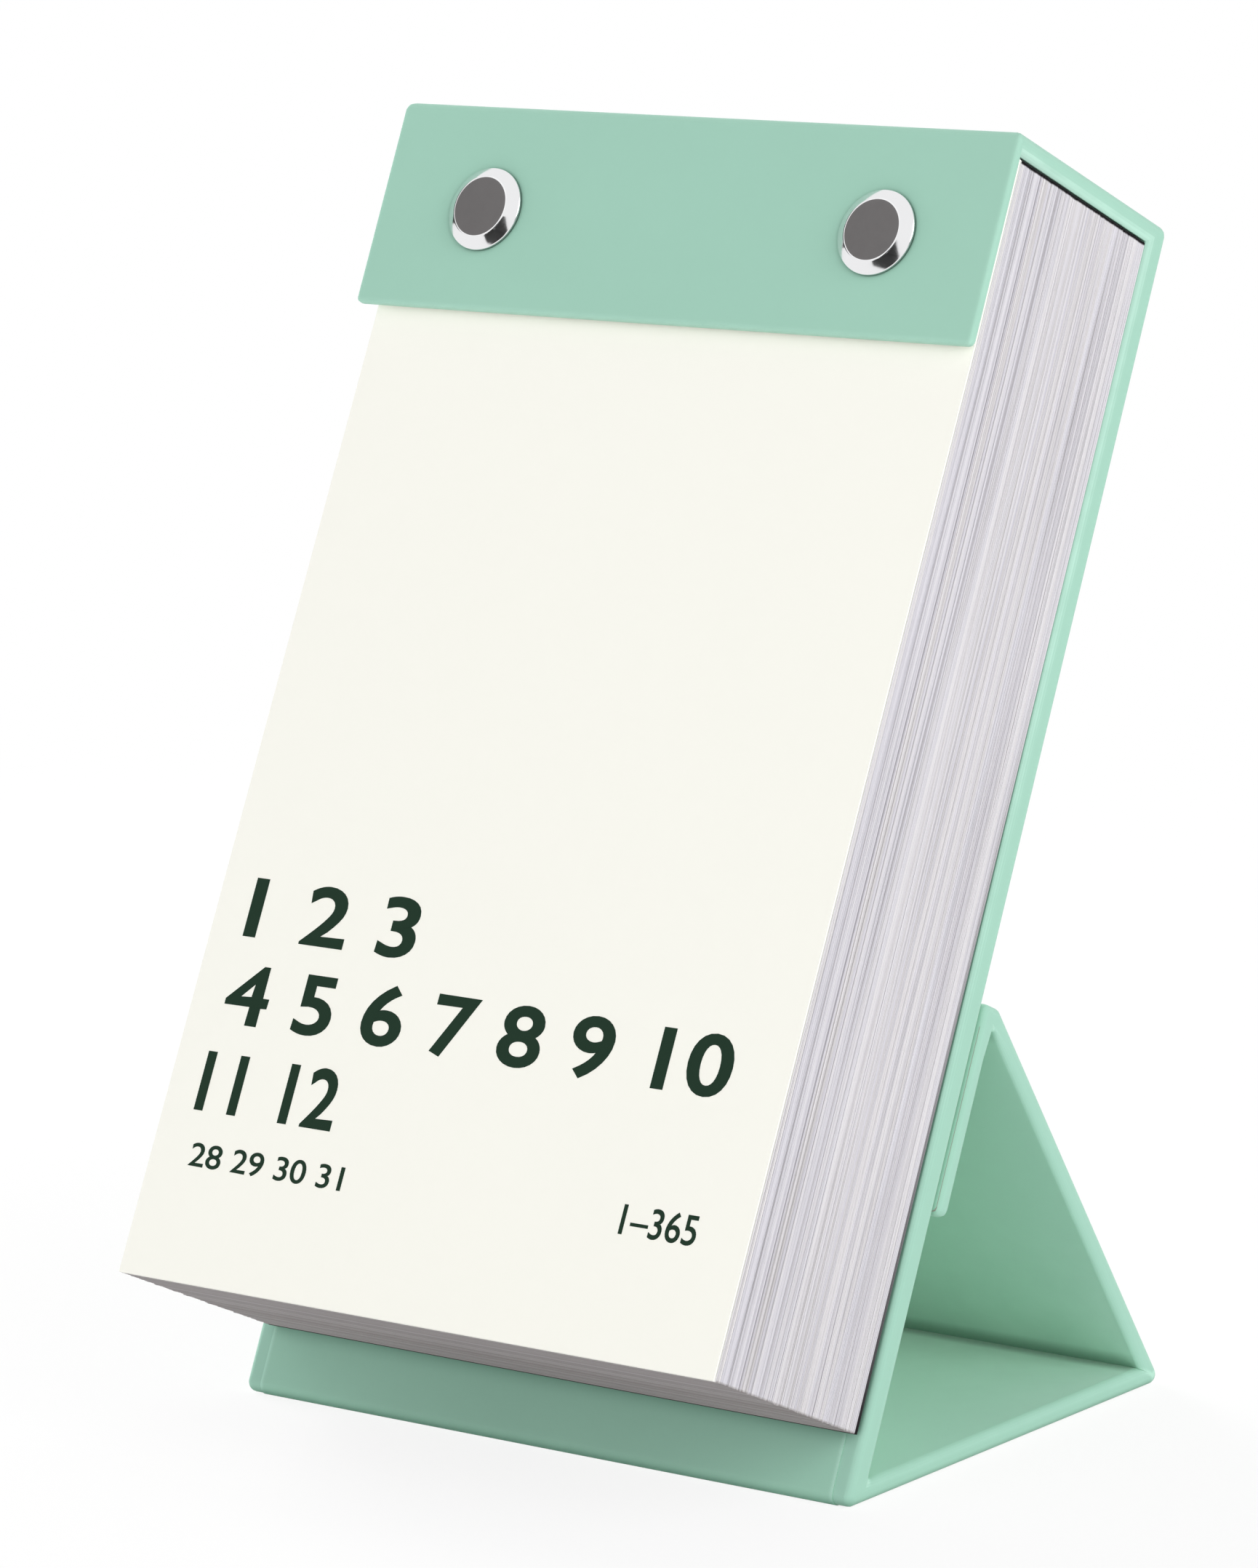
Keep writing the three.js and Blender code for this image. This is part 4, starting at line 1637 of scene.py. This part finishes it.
@dataclass
class Binding:
    """Bevelled post caps in front and slotted screw heads behind.

    Attributes:
        softening: Reach of the small curve at a profile's corners.
        sink: How far a cap or a head sinks into the paper.
        flat_share: Radius of a cap's flat face, as a share of the cap's.
        cutter_length: Length of the block that cuts a slot, well past the head.
        slot_sharp: Edges above this angle stay sharp on a slotted head, in degrees.
    """

    layout: Layout
    plate: Material
    face: Material
    steps: int = 96
    softening: float = 0.14
    soft_steps: int = 4
    sink: float = 0.05
    flat_share: float = 0.735
    rim: float = 0.5
    barrel: float = 2.5
    shank: float = 1.95
    head_bevel: float = 0.47
    slot_width: float = 1.2
    slot_depth: float = 0.7
    cutter_length: float = 20.0
    slot_sharp: float = 25.0

    def build(self) -> None:
        """Build both posts and both screws."""
        for side in Side:
            self.post(side)
            self.screw(side)

    def measure(self, node: str) -> tuple[float, float, Vector, float]:
        """Front end, rear end, centre and radius of a round node in the leaning frame."""
        low, high = self.layout.box(node)
        return low.y, high.y, (low + high) / 2, (high.x - low.x) / 2

    def spun(self, profile: Sequence[Point], centre: Vector) -> Mesh:
        """Turn a profile about the axis that runs behind through a centre, in the leaning frame.

        Args:
            profile: Pairs of radius and place along the axis, from axis to axis.
            centre: A point on the axis, whose own place along it is left out.

        Returns:
            A closed mesh in millimetres.
        """
        mesh = bmesh.new()
        verts = [mesh.verts.new((radius, along, 0)) for radius, along in profile]
        edges = [mesh.edges.new(pair) for pair in zip(verts, verts[1:])]
        bmesh.ops.spin(
            mesh,
            geom=[*verts, *edges],
            cent=(0, 0, 0),
            axis=(0, 1, 0),
            angle=math.tau,
            steps=self.steps,
            use_merge=True,
        )
        bmesh.ops.remove_doubles(mesh, verts=mesh.verts, dist=CLOSE)
        bmesh.ops.recalc_face_normals(mesh, faces=mesh.faces)
        mesh.transform(self.layout.leaning @ Matrix.Translation((centre.x, 0, centre.z)))
        return mesh

    def softened(self, profile: Sequence[Point]) -> list[Point]:
        """A profile with its inner corners rounded a little.

        Args:
            profile: The sharp profile.

        Returns:
            The profile with a small curve at each corner.
        """
        points = [Vector(point) for point in profile]
        soft = [points[0]]
        for before, corner, after in zip(points, points[1:], points[2:]):
            reach = min(self.softening, (corner - before).length / 3, (after - corner).length / 3)
            entry = corner + reach * (before - corner).normalized()
            leave = corner + reach * (after - corner).normalized()
            for step in range(self.soft_steps + 1):
                share = step / self.soft_steps
                soft.append(entry.lerp(corner, share).lerp(corner.lerp(leave, share), share))
        soft.append(points[-1])
        return [tuple(point) for point in soft]

    def post(self, side: Side) -> None:
        """Build one post: its bevelled cap on the flap and its barrel through the block.

        Args:
            side: Which post.
        """
        node = f"post_{side.value}"
        front, rear, centre, radius = self.measure(node)
        flap = self.layout.case_low.y + self.sink
        profile = self.softened([
            (0, front),
            (radius * self.flat_share, front),
            (radius, flap - self.rim),
            (radius, flap),
            (self.barrel, flap),
            (self.barrel, rear),
            (0, rear),
        ])
        piece = finished(self.spun(profile, centre), f"binding_post_{side.value}", self.plate)
        piece.data.materials.append(self.face)
        back = self.layout.leaning.inverted()
        for polygon in piece.data.polygons:
            polygon.material_index = int((back @ (polygon.center / MM)).y < front + CLOSE)
        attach(piece, Body.CASE.value)
        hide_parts(node)

    def screw(self, side: Side) -> None:
        """Build one screw: its slotted head on the back and its shank in the post.

        Args:
            side: Which screw.
        """
        body = Body(f"screw_{side.value}").value
        front, rear, centre, radius = self.measure(body)
        seat = self.layout.back_thickness - self.sink
        profile = self.softened([
            (0, front),
            (self.shank, front),
            (self.shank, seat),
            (radius, seat),
            (radius, rear - self.head_bevel),
            (radius - self.head_bevel, rear),
            (0, rear),
        ])
        piece = finished(self.spun(profile, centre), f"binding_screw_{side.value}", self.plate)
        self.cut_slot(piece, centre, rear)
        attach(piece, body)
        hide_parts(body)

    def cut_slot(self, piece: Piece, centre: Vector, top: float) -> None:
        """Cut the driver slot across a screw head.

        Args:
            piece: The screw.
            centre: A point on its axis, in the leaning frame.
            top: Place of the head's outer face along the axis.
        """
        cutter = bmesh.new()
        bmesh.ops.create_cube(cutter, size=1)
        size = Matrix.Diagonal((self.cutter_length, 2 * self.slot_depth, self.slot_width, 1))
        cutter.transform(self.layout.leaning @ Matrix.Translation((centre.x, top, centre.z)) @ size)
        tool = finished(cutter, piece.name + "_slot", self.plate)
        cut = piece.modifiers.new("slot", "BOOLEAN")
        cut.object = tool
        cut.operation = "DIFFERENCE"
        cut.solver = "EXACT"
        shapes = bpy.context.evaluated_depsgraph_get()
        data = bpy.data.meshes.new_from_object(piece.evaluated_get(shapes))
        piece.modifiers.clear()
        data.set_sharp_from_angle(angle=math.radians(self.slot_sharp))
        piece.data = data
        bpy.data.objects.remove(tool)


# Hidden parts of the frame


def dress_hidden_nodes(board: Material, lining: Material, magnet: Material) -> None:
    """Give the frame's own hidden pieces their finishes.

    Args:
        board: Finish of the boards and the flap's card.
        lining: Finish of the linings that stay.
        magnet: Finish of the magnets.
    """
    for name, node in frame["nodes"].items():
        if name.endswith(("_board", "_card")):
            finish = board
        elif "magnet" in name:
            finish = magnet
        else:
            finish = lining
        node.data.materials.clear()
        node.data.materials.append(finish)


# Studio


@dataclass(frozen=True)
class Lamp:
    """A soft square lamp that faces the object.

    Attributes:
        azimuth: Its direction from the object in degrees.
        elevation: Its height in degrees.
        away: Its distance in metres.
        size: Its side in metres.
        power: Its power in watts.
        reflected: Whether reflections show it.
    """

    name: str
    azimuth: float
    elevation: float
    away: float
    size: float
    power: float
    reflected: bool = True


@dataclass
class Studio:
    """Camera, lamps, floor and world.

    Angles are in degrees and lengths in metres; the camera looks at a point on the calendar's middle line.

    Attributes:
        horizon: Strength of the sky's light at the horizon.
        zenith: Its strength overhead.
        flags: Strength of the dark card and flags, which only reflections show.
        flag_start: Sideways direction at which the flags on both sides start.
        flag_end: Sideways direction at which they are full.
        card_top: Height of the dark card in front, as the direction's Z.
        card_middle: Its middle, as the direction's X.
        card_reach: Half its width.
        card_slit: Half the width of the bright slit in it.
    """

    azimuth: float = 37.455
    elevation: float = 10.621
    roll: float = -1.115
    distance: float = 0.85901
    aim: tuple[float, float, float] = (-0.00071, -0.00045, 0.0804)
    lens: float = 158.553
    lamps: tuple[Lamp, ...] = (
        Lamp("key", -40, 45, 1.6, 1.2, 0.5),
        Lamp("fill", 75, 32, 1.6, 1.0, 9.5),
        Lamp("inside", -106, 22, 1.0, 0.4, 6.0, reflected=False),
    )
    lamp_aim: tuple[float, float, float] = (0, 0, 0.07)
    floor_radius: float = 6.0
    floor_steps: int = 96
    horizon: float = 1.4
    zenith: float = 0.22
    flags: float = 0.04
    flag_start: float = 0.83
    flag_end: float = 0.9
    card_top: float = 0.36
    card_middle: float = 0.1
    card_reach: float = 0.3
    card_slit: float = 0.012

    def build(self) -> None:
        """Build everything around the object."""
        self.camera()
        self.world()
        for lamp in self.lamps:
            self.lamp(lamp)
        self.floor()
        bpy.context.scene.view_settings.view_transform = "Standard"

    def facing(self, aim: Iterable[float], angles: Point, away: float) -> Matrix:
        """Find a place at some angles and a distance from a point, turned to look at it.

        Args:
            aim: The point.
            angles: Azimuth and elevation of the place.
            away: Its distance.

        Returns:
            The place, with -Z towards the point and Y upwards.
        """
        turn, rise = (math.radians(angle) for angle in angles)
        back = Vector((math.sin(turn) * math.cos(rise), -math.cos(turn) * math.cos(rise), math.sin(rise)))
        look = (-back).to_track_quat("-Z", "Y").to_matrix().to_4x4()
        return Matrix.Translation(Vector(aim) + back * away) @ look

    def camera(self) -> None:
        """Place the camera where the photograph was taken from."""
        data = bpy.data.cameras.new("camera")
        data.lens = self.lens
        data.sensor_width = 36.0
        data.clip_start = 0.05
        camera = bpy.data.objects.new("camera", data)
        tilt = Matrix.Rotation(math.radians(self.roll), 4, "Z")
        camera.matrix_world = self.facing(self.aim, (self.azimuth, self.elevation), self.distance) @ tilt
        bpy.context.scene.collection.objects.link(camera)
        bpy.context.scene.camera = camera

    def lamp(self, lamp: Lamp) -> None:
        """Add a lamp.

        Args:
            lamp: What it is like.
        """
        data = bpy.data.lights.new(lamp.name, "AREA")
        data.size = lamp.size
        data.energy = lamp.power
        light = bpy.data.objects.new(lamp.name, data)
        light.matrix_world = self.facing(self.lamp_aim, (lamp.azimuth, lamp.elevation), lamp.away)
        light.visible_glossy = lamp.reflected
        bpy.context.scene.collection.objects.link(light)

    def world(self) -> None:
        """Make the surroundings.

        The camera sees white. As light they are a sky that is brightest at the horizon, and in
        reflections they have a dark card in front and dark flags on both sides.
        """
        world = bpy.data.worlds.new("studio")
        bpy.context.scene.world = world
        world.use_nodes = True
        nodes = Nodes(world.node_tree)
        world.node_tree.nodes.clear()
        path = nodes.add("LightPath").outputs
        seen = nodes.math("MAXIMUM", path["Is Camera Ray"], path["Is Transmission Ray"])
        split = nodes.add("SeparateXYZ")
        nodes.join(nodes.add("TexCoord").outputs["Generated"], split.inputs[0])
        flags = nodes.add("MapRange", {
            "From Min": self.flag_start,
            "From Max": self.flag_end,
            "To Min": 1.0,
            "To Max": self.flags,
        })
        nodes.join(nodes.math("ABSOLUTE", split.outputs["X"]), flags.inputs["Value"])
        ahead = nodes.math("LESS_THAN", split.outputs["Y"], 0.0)
        low = nodes.math("LESS_THAN", split.outputs["Z"], self.card_top)
        near = nodes.math("COMPARE", split.outputs["X"], self.card_middle, self.card_reach)
        slit = nodes.math("COMPARE", split.outputs["X"], self.card_middle, self.card_slit)
        narrow = nodes.math("MULTIPLY", low, nodes.math("SUBTRACT", near, slit))
        card = nodes.math("MULTIPLY", ahead, narrow)
        beside = nodes.math("MULTIPLY_ADD", card, self.flags - 1.0, flags.outputs["Result"])
        shine = nodes.math("MULTIPLY", nodes.math("MAXIMUM", beside, self.flags), path["Is Glossy Ray"])
        height = nodes.math("MAXIMUM", split.outputs["Z"], 0.0)
        shade = nodes.math("MULTIPLY_ADD", height, self.zenith - self.horizon, self.horizon)
        sky = nodes.math("MULTIPLY", nodes.math("SUBTRACT", 1.0, path["Is Glossy Ray"]), shade)
        background = nodes.add("Background", {"Color": (1.0, 1.0, 1.0, 1.0)})
        strength = nodes.math("MAXIMUM", seen, nodes.math("ADD", shine, sky))
        nodes.join(strength, background.inputs["Strength"])
        nodes.join(background.outputs[0], nodes.add("OutputWorld").inputs["Surface"])

    def floor(self) -> None:
        """Add the pale floor under the object."""
        mesh = bmesh.new()
        radius = self.floor_radius / MM
        bmesh.ops.create_circle(mesh, cap_ends=True, segments=self.floor_steps, radius=radius)
        finished(mesh, "floor", FloorFinish().material())


def main() -> None:
    """Build the calendar and its studio."""
    logging.basicConfig(level=logging.INFO, format="%(name)s: %(message)s")
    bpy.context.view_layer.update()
    shared = SharedEffects()
    layout = Layout()
    cover, lining, sheets, face, card, ink, plate, cap, board, magnet = (
        finish.material(shared)
        for finish in (
            COVER_PAPER,
            LINING_PAPER,
            WHITE_SHEETS,
            SHEET_FACE,
            PAGE_CARD,
            PRINTING_INK,
            NICKEL_PLATE,
            DARK_NICKEL,
            RAW_BOARD,
            MAGNET_NICKEL,
        )
    )
    Studio().build()
    StripCovers(layout, cover, lining).build()
    SheetBlock(layout, sheets, face, card).build()
    PagePrint(layout, ink).build()
    Binding(layout, plate, cap).build()
    dress_hidden_nodes(board, lining, magnet)


if __name__ == "__main__":
    main()
